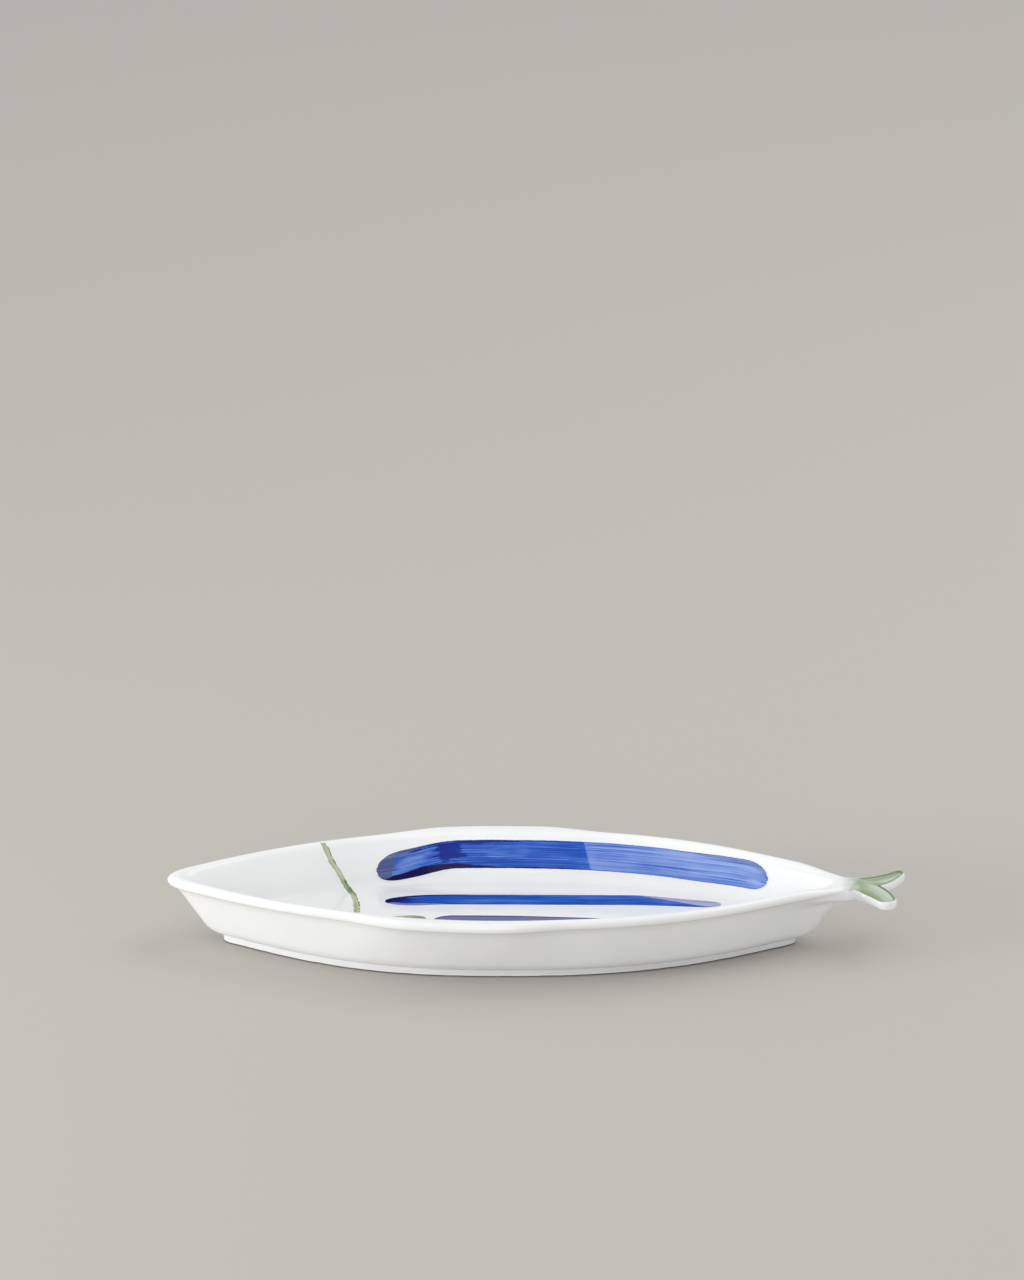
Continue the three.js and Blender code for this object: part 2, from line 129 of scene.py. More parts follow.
INNER_WALL_FOOT = (12.5, 16.1)
COVE_CORNER = (14.4, FLOOR_Z)
FLOOR_EDGE = (18.9, FLOOR_Z)
FIN_CREST_MARGIN = 0.6
POOL_REACH = 2.6
# In the crease under the bead, the darker tint of thick glaze is partly painted shade
CREASE_POOL_AND_SHADE = 0.3
COVE_POOL = 1.0

# Foot ring
FOOT_OUTER = 16.4
FOOT_INNER = 21.6
FOOT_DRAFT = 0.2
FOOT_EDGE = 0.8
FOOT_SEAM = 0.8
FOOT_BURIED_Z = 5.4
FOOT_SHIFT_X = -1.2

# Neck and tail
NECK_HALF_WIDTH = 8.3
WIDE_OF_NECK = 100.0
NECK_HALF_HEIGHT = 4.4
NECK_FILLET = 14.0
WALL_FILLET = 6.0
NECK_TOP_Z = RIM_HEIGHT - 1.8
NECK_LOWEST_Z = RIM_HEIGHT - 11.0
NECK_LEAD_IN = 4.6
NECK_WIDENING = 9.0
NECK_TURN = math.radians(80)
NECK_SQUARENESS = 0.6
LOBE_BEND = 12.0
BACK_LOBE = {"tip": (25.8, 17.0), "tip_half": 3.0}
BELLY_LOBE = {"tip": (18.0, -16.0), "tip_half": 5.2}
LOBES = (BACK_LOBE, BELLY_LOBE)
WAIST_FADE = 4
LOBE_DROOP = 1.8
LOBE_TIP_HALF_HEIGHT = 2.8
TIP_ROUNDING = 0.6
TRAY_DEPTH = 1.0
TRAY_EDGE = 1.1
TRAY_RAMP = (0.2, 0.45)
TRAY_SIDE = (-0.5, 0.45)
TRAY_FACING = (0.1, 0.5)
ROOT_RINGS = (6.0, 4.0, 2.0)
LOBE_RINGS = 30
SPINE_POINTS = 121
TIP_RINGS = 8
TIP_END = 8.5
TAIL_VOXEL = 0.36
TAIL_SMOOTHING = 8
TAIL_LAP = 0.05

# The green on the tail, which thins out over the neck and tints the glaze on top of it
WASH_MARKS = ("inside", "along", "aside")
WASH_FACING = 0.25
WASH_FROM_X = 143.4
WASH_FADE = 10.0
BLUSH_Z = (NECK_TOP_Z - 2.4, NECK_TOP_Z - 1.2)

# Brush strokes. A stroke's middle is an inset on the wall and a distance from the centre line on the floor.
# Lists along a stroke are (x, value): load is how much colour the brush held, pool how wide the colour ran
# together along one edge, veil how wide it lies thin and greyed along the other. Slant leans the steps of the
# load across the stroke. A blot, where colour was dropped or lifted, is (x, across, half length, half width).
# The gill line goes through knots of (x, inset), and its lists run along its length.
BACK_STRIPE = {
    "on_wall": True,
    "rows": 280,
    "start": -77.5,
    "end": 110.5,
    "start_taper": 12.0,
    "end_taper": 9.0,
    "middle": 9.1,
    "half": 2.65,
    "head": {"from": -76.0, "to": -38.0, "shift": 2.1, "swell": 0.4},
    "tail": {"from": 70.0, "to": 110.0, "shift": -0.5, "swell": 0.0},
    "slant": -0.27,
    "load": ((-78, 0.42), (-51, 0.45), (-34, 0.62), (-22, 0.56), (24, 0.55), (24.5, 0.27), (112, 0.2)),
    "dropped": ((-42.5, -1.8, 8.5, 5.4), (-55.0, -6.8, 13.0, 1.8), (-28.0, -6.6, 20.0, 1.6)),
    "lifted": ((-61.0, 0.0, 9.0, 4.0), (-14.0, -1.0, 14.0, 4.0), (104.0, 3.0, 5.0, 1.4)),
    "pool": (
        (-78, -1.0), (-73, 1.2), (-69, 3.6), (-56, 4.2), (-44, 3.0),
        (-30, 1.5), (-20, 0.9), (24, 0.6), (25, -1.0),
    ),
    "veil": (
        (-78, 16.0), (-71, 14.0), (-69, 3.4), (-66, 2.2), (-57, 1.0),
        (-48, -1.0), (62, -1.0), (78, 1.0), (111, 3.0),
    ),
}
MIDDLE_STRIPE = {
    "on_wall": False,
    "rows": 280,
    "start": -73.0,
    "end": 88.5,
    "start_taper": 22.0,
    "end_taper": 9.0,
    "middle": 23.4,
    "half": 6.4,
    "head": {"from": -73.0, "to": -40.0, "shift": -2.4, "swell": 0.9},
    "tail": {"from": 44.0, "to": 89.0, "shift": -5.0, "swell": -2.4},
    "slant": 3.4,
    "load": ((-90, 0.9), (-66, 0.8), (-56, 0.62), (-44, 0.54), (69, 0.5), (70.5, 0.1), (120, 0.08)),
    "dropped": ((-68.0, 1.0, 9.0, 3.0),),
    "pool": ((-74, 5.0), (-66, 6.4), (-62, 2.4), (-40, 0.7), (50, 0.4), (60, 0.0), (89, 0.0)),
    "veil": ((-74, 2.6), (-56, 3.0), (-46, 1.6), (-38, -1.0), (89, -1.0)),
}
LOWER_STRIPE = {
    "on_wall": False,
    "rows": 280,
    "start": -49.0,
    "end": 68.0,
    "start_taper": 10.0,
    "end_taper": 30.0,
    "middle": -3.0,
    "half": 6.2,
    "tail": {"from": -24.0, "to": 62.0, "shift": -4.2, "swell": 0.0},
    "load": ((-49, 0.6), (-30, 0.5), (68, 0.6)),
    "pool": ((-49, 1.6), (0, 1.4), (68, 0.8)),
    "veil": ((-49, 14.0), (68, 14.0)),
}
FIN_DAB = {
    "on_wall": False,
    "rows": 80,
    "start": -72.5,
    "end": -52.5,
    "start_taper": 16.0,
    "end_taper": 7.0,
    "middle": -1.0,
    "half": 4.0,
    "load": ((-73, 0.3), (-60, 0.55), (-52, 0.8)),
    "pool": ((-73, 0.0), (-60, 0.5), (-52, 0.6)),
    "veil": ((-73, 0.0), (-52, 0.0)),
}
GILL_LINE = {
    "on_wall": True,
    "knots": (
        (-103.9, 3.2), (-99.7, 7.9), (-92.9, 12.8), (-88.8, 19.5),
        (-86.8, 29.0), (-86.1, 36.0), (-85.7, 46.0),
    ),
    "half": 1.4,
    "load": (
        (0, 0.5), (5, 0.2), (12, 0.15), (16, 0.5), (20, 0.9),
        (23, 0.5), (28, 0.3), (36, 0.35), (50, 0.4),
    ),
    "pool": ((0, 0.7), (10, 0.9), (16, 1.1), (22, 1.2), (26, 0.6), (50, 0.6)),
    "veil": ((0, 0.9), (14, 0.8), (22, 0.3), (50, 0.6)),
}

# Films of colour. On the wall, one step of inset stands for so much of the surface.
WALL_STEP = 2.5
STROKE_MARGIN = 0.6
STROKE_LIFT = 0.05
DROP_FROM = 60.0
FILM_THICKNESS = 0.16
FILM_CREASE = math.radians(40)
BORDER_POINTS = 900
POINTS_AT_ONCE = 2000

# Glaze, clay and colours. A ramp runs from thin colour to thick.
GLAZE_IOR = 1.52
GLAZE_BUMP = 0.0004
STROKE_SHINE = 0.1
THIN_GLAZE = "f3f4f3"
THICK_GLAZE = "dde2e1"
FOOT_POOL = 0.35
FOOT_GLAZE_Z = (0.65, 0.9)
# Painted contact shadow: a dark band on the foot's standing edge, between the bare clay and the glaze
FOOT_CONTACT_SHADOW_Z = (0.1, 0.3)
FOOT_CONTACT_SHADOW = "574f4a"
DARK_CLAY = "cfc5b4"
PALE_CLAY = "ece6da"
CLAY_ROUGHNESS = 0.8
ROOT_GREEN = "8fa17c"
LOBE_GREEN = "b0bca7"
LIT_GREEN = "c2d1bd"
SHADED_GREEN = "7f9569"
POOLED_GREEN = "68815c"
EDGE_BROWN = "a9ab7c"
DEEP_BLUES = ((0.5, "2b60c0"), (0.7, "1544a8"), (0.86, "0a2f98"), (1.0, "052386"))
BLUE_RAMP = ((0.0, "9db0df"), (0.26, "7590d3"), *DEEP_BLUES)
GREYED_RAMP = ((0.0, "b0b3d2"), (0.2, "9499c4"), (0.36, "4a70c4"), *DEEP_BLUES)
GREEN_RAMP = ((0.0, "cdd3b4"), (0.4, "aab58e"), (0.7, "80937a"), (1.0, "62806c"))
BLUE = {"ramp": BLUE_RAMP, "veil": "565c86", "veil_strength": 0.9, "pool": "160748"}
PALE_BLUE = {"ramp": GREYED_RAMP, "veil": "8d8fae", "veil_strength": 0.85, "pool": "140a5c"}
GREY_BLUE = {"ramp": BLUE_RAMP, "veil": "746d8b", "veil_strength": 0.75, "pool": "36366f"}
SAGE = {"ramp": GREEN_RAMP, "veil": "97a279", "veil_strength": 0.9, "pool": "75875c"}

# Places of the colour sockets on a Mix node
MIX_FIRST = 6
MIX_SECOND = 7
MIX_RESULT = 2

# Stage, in metres and watts. A lamp is its name, place, size and power.
FLOOR_REACH = 6
FLOOR_CORNERS = ((-1, -1), (1, -1), (1, 1), (-1, 1))
FLOOR_SHADE = "bfbbb4"
FLOOR_ROUGHNESS = 0.9
LAMPS = (
    ("window_light", (-1.4, -0.42, 0.22), 0.42, 10.8),
    ("front_fill", (0.0, -2.6, 0.7), 1.3, 7.0),
    ("upper_fill", (1.4, 0.7, 1.85), 1.8, 11.0),
)
SKY_COLOUR = (0.98, 0.985, 1.0, 1.0)
SKY_STRENGTH = 0.81

# Camera of the photograph, for an image of 1024 by 1280
IMAGE = (1024, 1280)
CAMERA_DISTANCE = 2600.0
CAMERA_ELEVATION = math.radians(22)
CAMERA_TURN = math.radians(0.6)
FOCAL_PIXELS = 5460.0
AIM = Vector((0.0, 0.0, 17.0))
AIM_PIXEL = (536.5, 908.5)
SENSOR = 36.0

scene = bpy.context.scene
scene.view_settings.view_transform = "Standard"

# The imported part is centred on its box, so the maker's frame is found again from the nose and the foot
nose_corner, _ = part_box("dish_body")
foot_low, foot_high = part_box("foot_ring")
maker_origin = Vector((nose_corner[0] - OUTLINE["Nose X"] * MM, (foot_low[1] + foot_high[1]) / 2, 0.0))
MAKER_TO_ROW = Matrix.Translation(maker_origin) @ Matrix.Scale(MM, 4)


def lerp(a, b, t):
    return a + (b - a) * t


def smoothstep(value, start, end):
    t = np.clip((value - start) / (end - start), 0.0, 1.0)
    return t * t * (3 - 2 * t)


class Field:
    """A value that runs through a node tree. Sums, products and powers of fields add Math nodes to it."""

    def __init__(self, socket):
        self.socket = socket
        self.tree = socket.id_data

    def __add__(self, other):
        return calc("ADD", self, other)

    def __radd__(self, other):
        return calc("ADD", other, self)

    def __sub__(self, other):
        return calc("SUBTRACT", self, other)

    def __rsub__(self, other):
        return calc("SUBTRACT", other, self)

    def __mul__(self, other):
        return calc("MULTIPLY", self, other)

    def __rmul__(self, other):
        return calc("MULTIPLY", other, self)

    def __truediv__(self, other):
        return calc("DIVIDE", self, other)

    def __pow__(self, other):
        return calc("POWER", self, other)


def feed(value, socket):
    """Links a field, or the first output of a node, to a socket, or sets the socket to a plain value."""
    if isinstance(value, bpy.types.Node):
        value = Field(value.outputs[0])
    if isinstance(value, Field):
        value.tree.links.new(value.socket, socket)
    else:
        socket.default_value = value


def place(tree, kind, inputs=None, **settings):
    """Adds a node, sets its settings and feeds its inputs."""
    node = tree.nodes.new(kind)
    for name, value in settings.items():
        setattr(node, name, value)
    for name, value in (inputs or {}).items():
        feed(value, node.inputs[name])
    return node


def calc(operation, *values):
    """A Math node of fields and plain numbers, as a field."""
    tree = next(value.tree for value in values if isinstance(value, Field))
    node = place(tree, "ShaderNodeMath", operation=operation)
    for value, socket in zip(values, node.inputs):
        feed(value, socket)
    return Field(node.outputs[0])


def limit(value):
    """The field, kept between 0 and 1."""
    return calc("MAXIMUM", calc("MINIMUM", value, 1.0), 0.0)


def ease(value, start, end):
    """Smooth step of a field between two places."""
    places = {"Value": value, "From Min": start, "From Max": end}
    node = place(value.tree, "ShaderNodeMapRange", places, interpolation_type="SMOOTHSTEP")
    return Field(node.outputs["Result"])


def parts_of(vector):
    """The three parts of a vector, as fields."""
    node = place(vector.tree, "ShaderNodeSeparateXYZ", {"Vector": vector})
    return [Field(socket) for socket in node.outputs]


def socket_kind(value):
    """Kind of the socket that holds a value. A kind that is written out stands for itself."""
    if isinstance(value, str):
        return value
    if isinstance(value, int):
        return "NodeSocketInt"
    if isinstance(value, float):
        return "NodeSocketFloat"
    return "NodeSocketVector" if len(value) == 3 else "NodeSocketColor"


def new_group(name, kind, inputs, outputs):
    """A node group with named inputs that have defaults, its inputs as fields, and its end."""
    tree = bpy.data.node_groups.new(name, kind)
    for label, value in inputs.items():
        item = tree.interface.new_socket(label, in_out="INPUT", socket_type=socket_kind(value))
        if not isinstance(value, str):
            item.default_value = value
    for label, value in outputs.items():
        tree.interface.new_socket(label, in_out="OUTPUT", socket_type=socket_kind(value))
    start = tree.nodes.new("NodeGroupInput")
    end = tree.nodes.new("NodeGroupOutput")
    return tree, {label: Field(start.outputs[label]) for label in inputs}, end


def give(end, **outputs):
    """Feeds the outputs of a node group."""
    for label, value in outputs.items():
        feed(value, end.inputs[label])


def geometry_tree(name, sizes):
    """A geometry tree with named sizes, that takes a geometry and gives one."""
    geometry = {"Geometry": "NodeSocketGeometry"}
    return new_group(name, "GeometryNodeTree", {**geometry, **sizes}, geometry)


def own_position(tree):
    """The three parts of each point's own position."""
    return parts_of(Field(tree.nodes.new("GeometryNodeInputPosition").outputs[0]))


def named_value(tree, name):
    node = place(tree, "GeometryNodeInputNamedAttribute", {"Name": name}, data_type="FLOAT")
    return Field(node.outputs["Attribute"])


def store_pool(tree, geometry, value):
    """Stores on each point how thick the glaze lies, which in the crease under the bead is partly painted
    shade.
    """
    inputs = {"Geometry": geometry, "Name": "pool", "Value": value}
    return place(tree, "GeometryNodeStoreNamedAttribute", inputs, data_type="FLOAT", domain="POINT")


def outline_group():
    """Half width of the dish at X for the outline drawn in by Inset, with its nose rounded off, the swell
    that rounds off its stern, and where it ends. Past the stern the half width goes on below zero, for the
    neck."""
    inputs = {"X": 0.0, "Inset": 0.0, **OUTLINE}
    outputs = {"Half Width": 0.0, "Stern Swell": 0.0, "Fore End": 0.0, "Aft End": 0.0}
    tree, size, end = new_group("dish_outline", "GeometryNodeTree", inputs, outputs)
    x, inset, widest_x = size["X"], size["Inset"], size["Widest X"]
    fore_end = size["Nose X"] + size["Nose Draw"] * inset
    aft_end = size["Stern X"] - size["Stern Draw"] * inset
    pointed = limit(inset / size["Pointed Inset"])
    fullness = lerp(size["Blunt Nose Fullness"], size["Pointed Nose Fullness"], pointed)
    bluntness = lerp(size["Nose Bluntness"], 1.0, pointed)
    to_nose = limit((widest_x - x) / (widest_x - fore_end))
    to_stern = calc("MAXIMUM", (x - widest_x) / (aft_end - widest_x), 0.0)
    fore = limit(1.0 - to_nose**fullness) ** bluntness
    aft = 1.0 - to_stern ** size["Stern Fullness"]

    def swell(distance):
        t = calc("MAXIMUM", distance, 0.0) / size["End Swell Reach"]
        most = size["End Swell"] * (1.0 - inset / size["Rim Half Width"])
        return most * calc("SQRT", t) * calc("EXPONENT", (1.0 - t) * 0.5)

    half = (size["Rim Half Width"] - inset) * fore * aft + swell(x - fore_end)
    ends = {"Fore End": fore_end, "Aft End": aft_end}
    give(end, **{"Half Width": half, "Stern Swell": swell(aft_end - x), **ends})
    return tree


def outline_at(outline, x, inset):
    """The outline group placed in another tree: fields of its four outputs."""
    node = place(x.tree, "GeometryNodeGroup", {"X": x, "Inset": inset}, node_tree=outline)
    return [Field(socket) for socket in node.outputs]


def fin(size, name, x):
    rise = ease(x, size[f"{name} Start"], size[f"{name} Full"])
    fall = ease(x, size[f"{name} Fade"], size[f"{name} End"])
    return size[f"{name} Height"] * rise * (1.0 - fall)


def loft_tree(outline):
    """Lofts a row of section stations along the outline: one ring of the dish for each station."""
    sizes = {"Ring Points": RING_POINTS, "Material": "NodeSocketMaterial", **LOFT}
    tree, size, end = geometry_tree("dish_loft", sizes)
    stations = size["Geometry"]
    count = place(tree, "GeometryNodeAttributeDomainSize", {"Geometry": stations}, component="MESH")
    rows = Field(count.outputs["Point Count"])
    ring_points = size["Ring Points"]
    squares = {"Size X": 1.0, "Size Y": 1.0, "Vertices X": ring_points + 2.0, "Vertices Y": rows}
    grid = place(tree, "GeometryNodeMeshGrid", squares)
    grid_x, grid_y, _ = own_position(tree)
    column = calc("ROUND", (grid_x + 0.5) * (ring_points + 1.0))
    row = calc("ROUND", (grid_y + 0.5) * (rows - 1.0))

    def station(name):
        inputs = {"Geometry": stations, "Value": named_value(tree, name), "Index": row}
        sample = place(tree, "GeometryNodeSampleIndex", inputs, data_type="FLOAT", domain="POINT")
        return Field(sample.outputs["Value"])

    labels = ("inset", "height", "joins_neck", "neck_half", "neck_fillet")
    inset, height, joins_neck, neck_half, neck_fillet = map(station, labels)

    # The ring runs from the stern along the back to the nose and home along the belly, and closes on itself
    turn = calc("MODULO", column, ring_points + 1.0) / ring_points
    back = calc("LESS_THAN", turn, 0.5 + ROUND_OFF)
    t = calc("ABSOLUTE", 1.0 - 2.0 * turn)
    cosine = 0.5 - 0.5 * calc("COSINE", math.pi * t)
    along = lerp(cosine, t, size["Ring Evenness"])
    at_neck, _, fore_end, aft_end = outline_at(outline, size["Neck X"], inset)
    x = lerp(fore_end, lerp(aft_end, size["Neck X"], joins_neck), along)
    half, stern_swell, _, _ = outline_at(outline, x, inset)
    flare = lerp(fin(size, "Belly Fin", x), fin(size, "Back Fin", x), back)
    plain = half + station("flare") * flare
    ending = calc("MAXIMUM", plain, 0.0) + stern_swell

    # Where a ring joins the neck, a fillet brings it to the neck's own width on the joint plane
    fillet = neck_fillet * ease(x, size["Fillet Start X"], size["Fillet Full X"])
    neck_line = neck_half - neck_fillet * neck_fillet / (4.0 * (neck_half - at_neck))
    apart = plain - neck_line
    filleted = (plain + neck_line + calc("SQRT", apart * apart + fillet * fillet)) * 0.5
    necked = lerp(plain, filleted, calc("GREATER_THAN", x, size["Fillet Start X"]))
    half = lerp(ending, necked, station("widens"))

    off_middle = (x - size["Crown Middle X"]) / size["Crown Reach"]
    up_wall = limit((height - size["Floor Height"]) / (size["Rim Height"] - size["Floor Height"]))
    crown = size["Rim Crown"] * limit(1.0 - off_middle * off_middle) * up_wall
    runs_in = calc("GREATER_THAN", joins_neck, 0.0)
    to_neck = runs_in * ease(x, size["Neck Start X"], size["Neck X"])
    z = lerp(height + crown, station("neck_height"), to_neck)

    side = lerp(-1.0, 1.0, back)
    point = place(tree, "ShaderNodeCombineXYZ", {"X": x + size["Shift X"], "Y": side * half, "Z": z})
    moved = place(tree, "GeometryNodeSetPosition", {"Geometry": grid, "Position": point})
    pooled = store_pool(tree, moved, station("pool"))
    merged = place(tree, "GeometryNodeMergeByDistance", {"Geometry": pooled, "Distance": SLIVER})
    finish_tree(tree, merged, size["Material"], end)
    return tree


def finish_tree(tree, geometry, material, end):
    """Smooth shading with sharp edges kept, then real geometry and its material."""
    angle = place(tree, "GeometryNodeInputMeshEdgeAngle")
    sharp = calc("GREATER_THAN", Field(angle.outputs["Unsigned Angle"]), SHARP_EDGE)
    smooth = place(tree, "GeometryNodeSetShadeSmooth", {"Geometry": geometry, "Shade Smooth": True})
    creases = {"Geometry": smooth, "Selection": sharp, "Shade Smooth": False}
    creased = place(tree, "GeometryNodeSetShadeSmooth", creases, domain="EDGE")
    real = place(tree, "GeometryNodeRealizeInstances", {"Geometry": creased})
    coated = place(tree, "GeometryNodeSetMaterial", {"Geometry": real, "Material": material})
    give(end, Geometry=coated)


def lay_tree(outline):
    """Lays a flat stroke on the inside of the dish, and gives it the dish's own pooling of the glaze.
    The sheet's Y is an inset on the wall and a place on the floor."""
    sizes = {
        "Dish": "NodeSocketObject",
        "On Wall": 0.0,
        "Lift": STROKE_LIFT,
        "Drop From": DROP_FROM,
        "Material": "NodeSocketMaterial",
    }
    tree, size, end = geometry_tree("stroke_on_dish", sizes)
    x, across, _ = own_position(tree)
    y = lerp(across, outline_at(outline, x, across)[0], size["On Wall"])
    above = place(tree, "ShaderNodeCombineXYZ", {"X": x, "Y": y, "Z": size["Drop From"]})
    dish = place(tree, "GeometryNodeObjectInfo", {"Object": size["Dish"]}, transform_space="ORIGINAL")
    ray = {
        "Target Geometry": Field(dish.outputs["Geometry"]),
        "Attribute": named_value(tree, "pool"),
        "Source Position": above,
        "Ray Direction": (0.0, 0.0, -1.0),
        "Ray Length": size["Drop From"],
    }
    cast = place(tree, "GeometryNodeRaycast", ray, data_type="FLOAT")
    pooled = store_pool(tree, size["Geometry"], Field(cast.outputs["Attribute"]))
    lift = {"Vector": Field(cast.outputs["Hit Normal"]), "Scale": size["Lift"]}
    offset = place(tree, "ShaderNodeVectorMath", lift, operation="SCALE")
    hit = {"Geometry": pooled, "Position": Field(cast.outputs["Hit Position"]), "Offset": offset}
    laid = place(tree, "GeometryNodeSetPosition", hit)
    finish_tree(tree, laid, size["Material"], end)
    return tree


def add_object(name, mesh):
    made = bpy.data.objects.new(name, mesh)
    scene.collection.objects.link(made)
    return made


def grow(host, tree, inputs):
    """Adds a geometry tree to a host object, with its inputs set by identifier."""
    modifier = host.modifiers.new("grow", "NODES")
    modifier.node_group = tree
    identifiers = {
        item.name: item.identifier for item in tree.interface.items_tree if item.in_out == "INPUT"
    }
    for label, value in inputs.items():
        modifier[identifiers[label]] = value
    return host


def bake(made):
    """Turns an object with live modifiers into a plain mesh."""
    bpy.context.view_layer.update()
    evaluated = made.evaluated_get(bpy.context.evaluated_depsgraph_get())
    mesh = bpy.data.meshes.new_from_object(evaluated)
    old = made.data
    made.modifiers.clear()
    made.data = mesh
    mesh.name = made.name
    bpy.data.meshes.remove(old)
    return made


@contextmanager
def edited(mesh):
    """A mesh that is open for changes, which are written back at the end."""
    bm = bmesh.new()
    bm.from_mesh(mesh)
    yield bm
    bm.to_mesh(mesh)
    bm.free()


def drop_slivers(made):
    """Takes out the faces without area, where a ring closes on the centre line."""
    with edited(made.data) as bm:
        bmesh.ops.dissolve_degenerate(bm, dist=SLIVER, edges=bm.edges)


def settle(made, slot, *nodes):
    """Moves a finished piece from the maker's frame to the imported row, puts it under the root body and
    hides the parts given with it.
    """
    made.data.transform(MAKER_TO_ROW)
    made.data.update()
    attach(made, "root")
    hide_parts(*nodes)


class Path(list):
    """A section, drawn on from its last point."""

    def line(self, end, pieces):
        start = self[-1]
        for k in range(1, pieces + 1):
            self.append(tuple(lerp(p, q, k / pieces) for p, q in zip(start, end)))

    def curve(self, *pulls_and_end, pieces):
        """A Bezier curve with one or two pulls."""
        points = [Vector(p) for p in (self[-1], *pulls_and_end)]
        for k in range(1, pieces + 1):
            row = points
            while len(row) > 1:
                row = [p.lerp(q, k / pieces) for p, q in zip(row, row[1:])]
            self.append(tuple(row[0]))


def squared(value):
    """A sine or cosine that makes the neck's section squarer than an ellipse."""
    return math.copysign(abs(value) ** NECK_SQUARENESS, value)


def float_layer(mesh, name, values):
    attribute = mesh.attributes.new(name, "FLOAT", "POINT")
    attribute.data.foreach_set("value", np.asarray(values, dtype=np.float32))


def section_object(name, stations):
    """A row of section stations as an object of bare points, with their values as attributes."""
    mesh = bpy.data.meshes.new(name)
    mesh.from_pydata([(s["inset"], 0.0, s["height"]) for s in stations], [], [])
    for label in stations[0]:
        float_layer(mesh, label, [s[label] for s in stations])
    return add_object(name, mesh)


def station(inset, height, flare=0.0, pool=0.0):
    """One point of a section, with what the loft needs there, for a ring that keeps clear of the neck."""
    return {
        "inset": inset,
        "height": height,
        "flare": flare,
        "joins_neck": 0.0,
        "widens": 0.0,
        "neck_half": WIDE_OF_NECK,
        "neck_height": height,
        "neck_fillet": NECK_FILLET,
        "pool": pool,
    }


def pooling(inset, height):
    """How thick the glaze lies in the crease under the bead and in the cove; in the crease it is partly
    painted shade.
    """

    def near(spot):
        return math.exp(-((math.dist((inset, height), spot) / POOL_REACH) ** 2))

    return max(CREASE_POOL_AND_SHADE * near(CREASE), COVE_POOL * near(COVE_CORNER))


def shell_stations():
    """Section of the dish: from the middle of the underside out, up, over the rim and in to the middle."""
    middle = OUTLINE["Rim Half Width"]
    path = Path([(middle, RECESS_Z)])
    path.line((RECESS_INSET + RECESS_DRAFT, RECESS_Z), 10)
    path.line((RECESS_INSET, UNDERSIDE_Z), 3)
    path.line((CORNER_INSET, UNDERSIDE_Z), 5)
    path.curve((CORNER_PULL_INSET, UNDERSIDE_Z), WALL_FOOT, pieces=14)
    path.line(HOLLOW, 26)
    path.curve(HOLLOW_PULL, LIP, pieces=14)
    path.curve(LIP_PULL, CREST_PULL, CREST, pieces=18)
    crest_end = len(path)
    path.curve(EDGE_CREST_PULL, EDGE_PULL, EDGE, pieces=12)
    neck_end = len(path) - 1
    path.line(INNER_WALL_FOOT, 16)
    path.curve(COVE_CORNER, FLOOR_EDGE, pieces=14)
    path.line((middle, FLOOR_Z), 14)
    stations = []
    for k, (inset, height) in enumerate(path):
        if k < crest_end:
            flare = np.clip((height - RECESS_Z) / (BEAD_Z - RECESS_Z), 0.0, 1.0)
        else:
            flare = 1 - smoothstep(inset, FIN_CREST_MARGIN, RIM_WIDTH - FIN_CREST_MARGIN)
        stations.append(station(inset, height, flare, pooling(inset, height)))
    outer = stations[:neck_end]
    crease_z = CREASE[1]
    first = next(k for k, s in enumerate(outer) if s["height"] > crease_z)
    for k, s in enumerate(outer):
        under_bead = min(max((s["height"] - NECK_LOWEST_Z) / (crease_z - NECK_LOWEST_Z), 0.0), 1.0) - 1
        over_bead = (k - first + 1) / (neck_end - first)
        angle = NECK_TURN * (over_bead if over_bead > 0 else under_bead)
        neck_height = NECK_TOP_Z + NECK_HALF_HEIGHT * (squared(math.sin(angle)) - 1)
        s["joins_neck"] = smoothstep(s["height"], NECK_LOWEST_Z - NECK_LEAD_IN, NECK_LOWEST_Z)
        s["widens"] = smoothstep(s["height"], NECK_LOWEST_Z - NECK_WIDENING, NECK_LOWEST_Z)
        s["neck_half"] = NECK_HALF_WIDTH * squared(math.cos(angle))
        s["neck_height"] = lerp(s["height"], neck_height, s["joins_neck"])
        s["neck_fillet"] = lerp(WALL_FILLET, NECK_FILLET, smoothstep(s["height"], NECK_LOWEST_Z, BEAD_Z))
    return stations


def foot_stations():
    """Section of the foot ring, closed, with its top buried in the dish."""
    outer = FOOT_OUTER + FOOT_DRAFT
    inner = FOOT_INNER - FOOT_DRAFT
    path = Path([(FOOT_OUTER - FOOT_SEAM, FOOT_BURIED_Z)])
    path.line((FOOT_OUTER - FOOT_SEAM, UNDERSIDE_Z), 1)
    path.curve((FOOT_OUTER, UNDERSIDE_Z), (FOOT_OUTER, UNDERSIDE_Z - FOOT_SEAM), pieces=6)
    path.line((outer, FOOT_EDGE), 3)
    path.curve((outer, 0.0), (outer + FOOT_EDGE, 0.0), pieces=6)
    path.line((inner - FOOT_EDGE, 0.0), 3)
    path.curve((inner, 0.0), (inner, FOOT_EDGE), pieces=6)
    path.line((FOOT_INNER, UNDERSIDE_Z - FOOT_SEAM), 3)
    path.curve((FOOT_INNER, UNDERSIDE_Z), (FOOT_INNER + FOOT_SEAM, UNDERSIDE_Z), pieces=4)
    path.line((FOOT_INNER + FOOT_SEAM, FOOT_BURIED_Z), 1)
    path.line(path[0], 2)
    return [station(inset, height) for inset, height in reversed(path)]


def waist_slope():
    """How fast the dish narrows where its filleted outline meets the joint plane."""
    span = OUTLINE["Stern X"] - OUTLINE["Widest X"]
    u = (NECK_X - OUTLINE["Widest X"]) / span
    power = OUTLINE["Stern Fullness"]
    gap = NECK_HALF_WIDTH - OUTLINE["Rim Half Width"] * (1 - u**power)
    steepness = OUTLINE["Rim Half Width"] * power * u ** (power - 1) / span
    under_line = NECK_FILLET ** 2 / (4 * gap)
    return steepness * under_line / (gap + under_line)


WAIST_SLOPE = waist_slope()


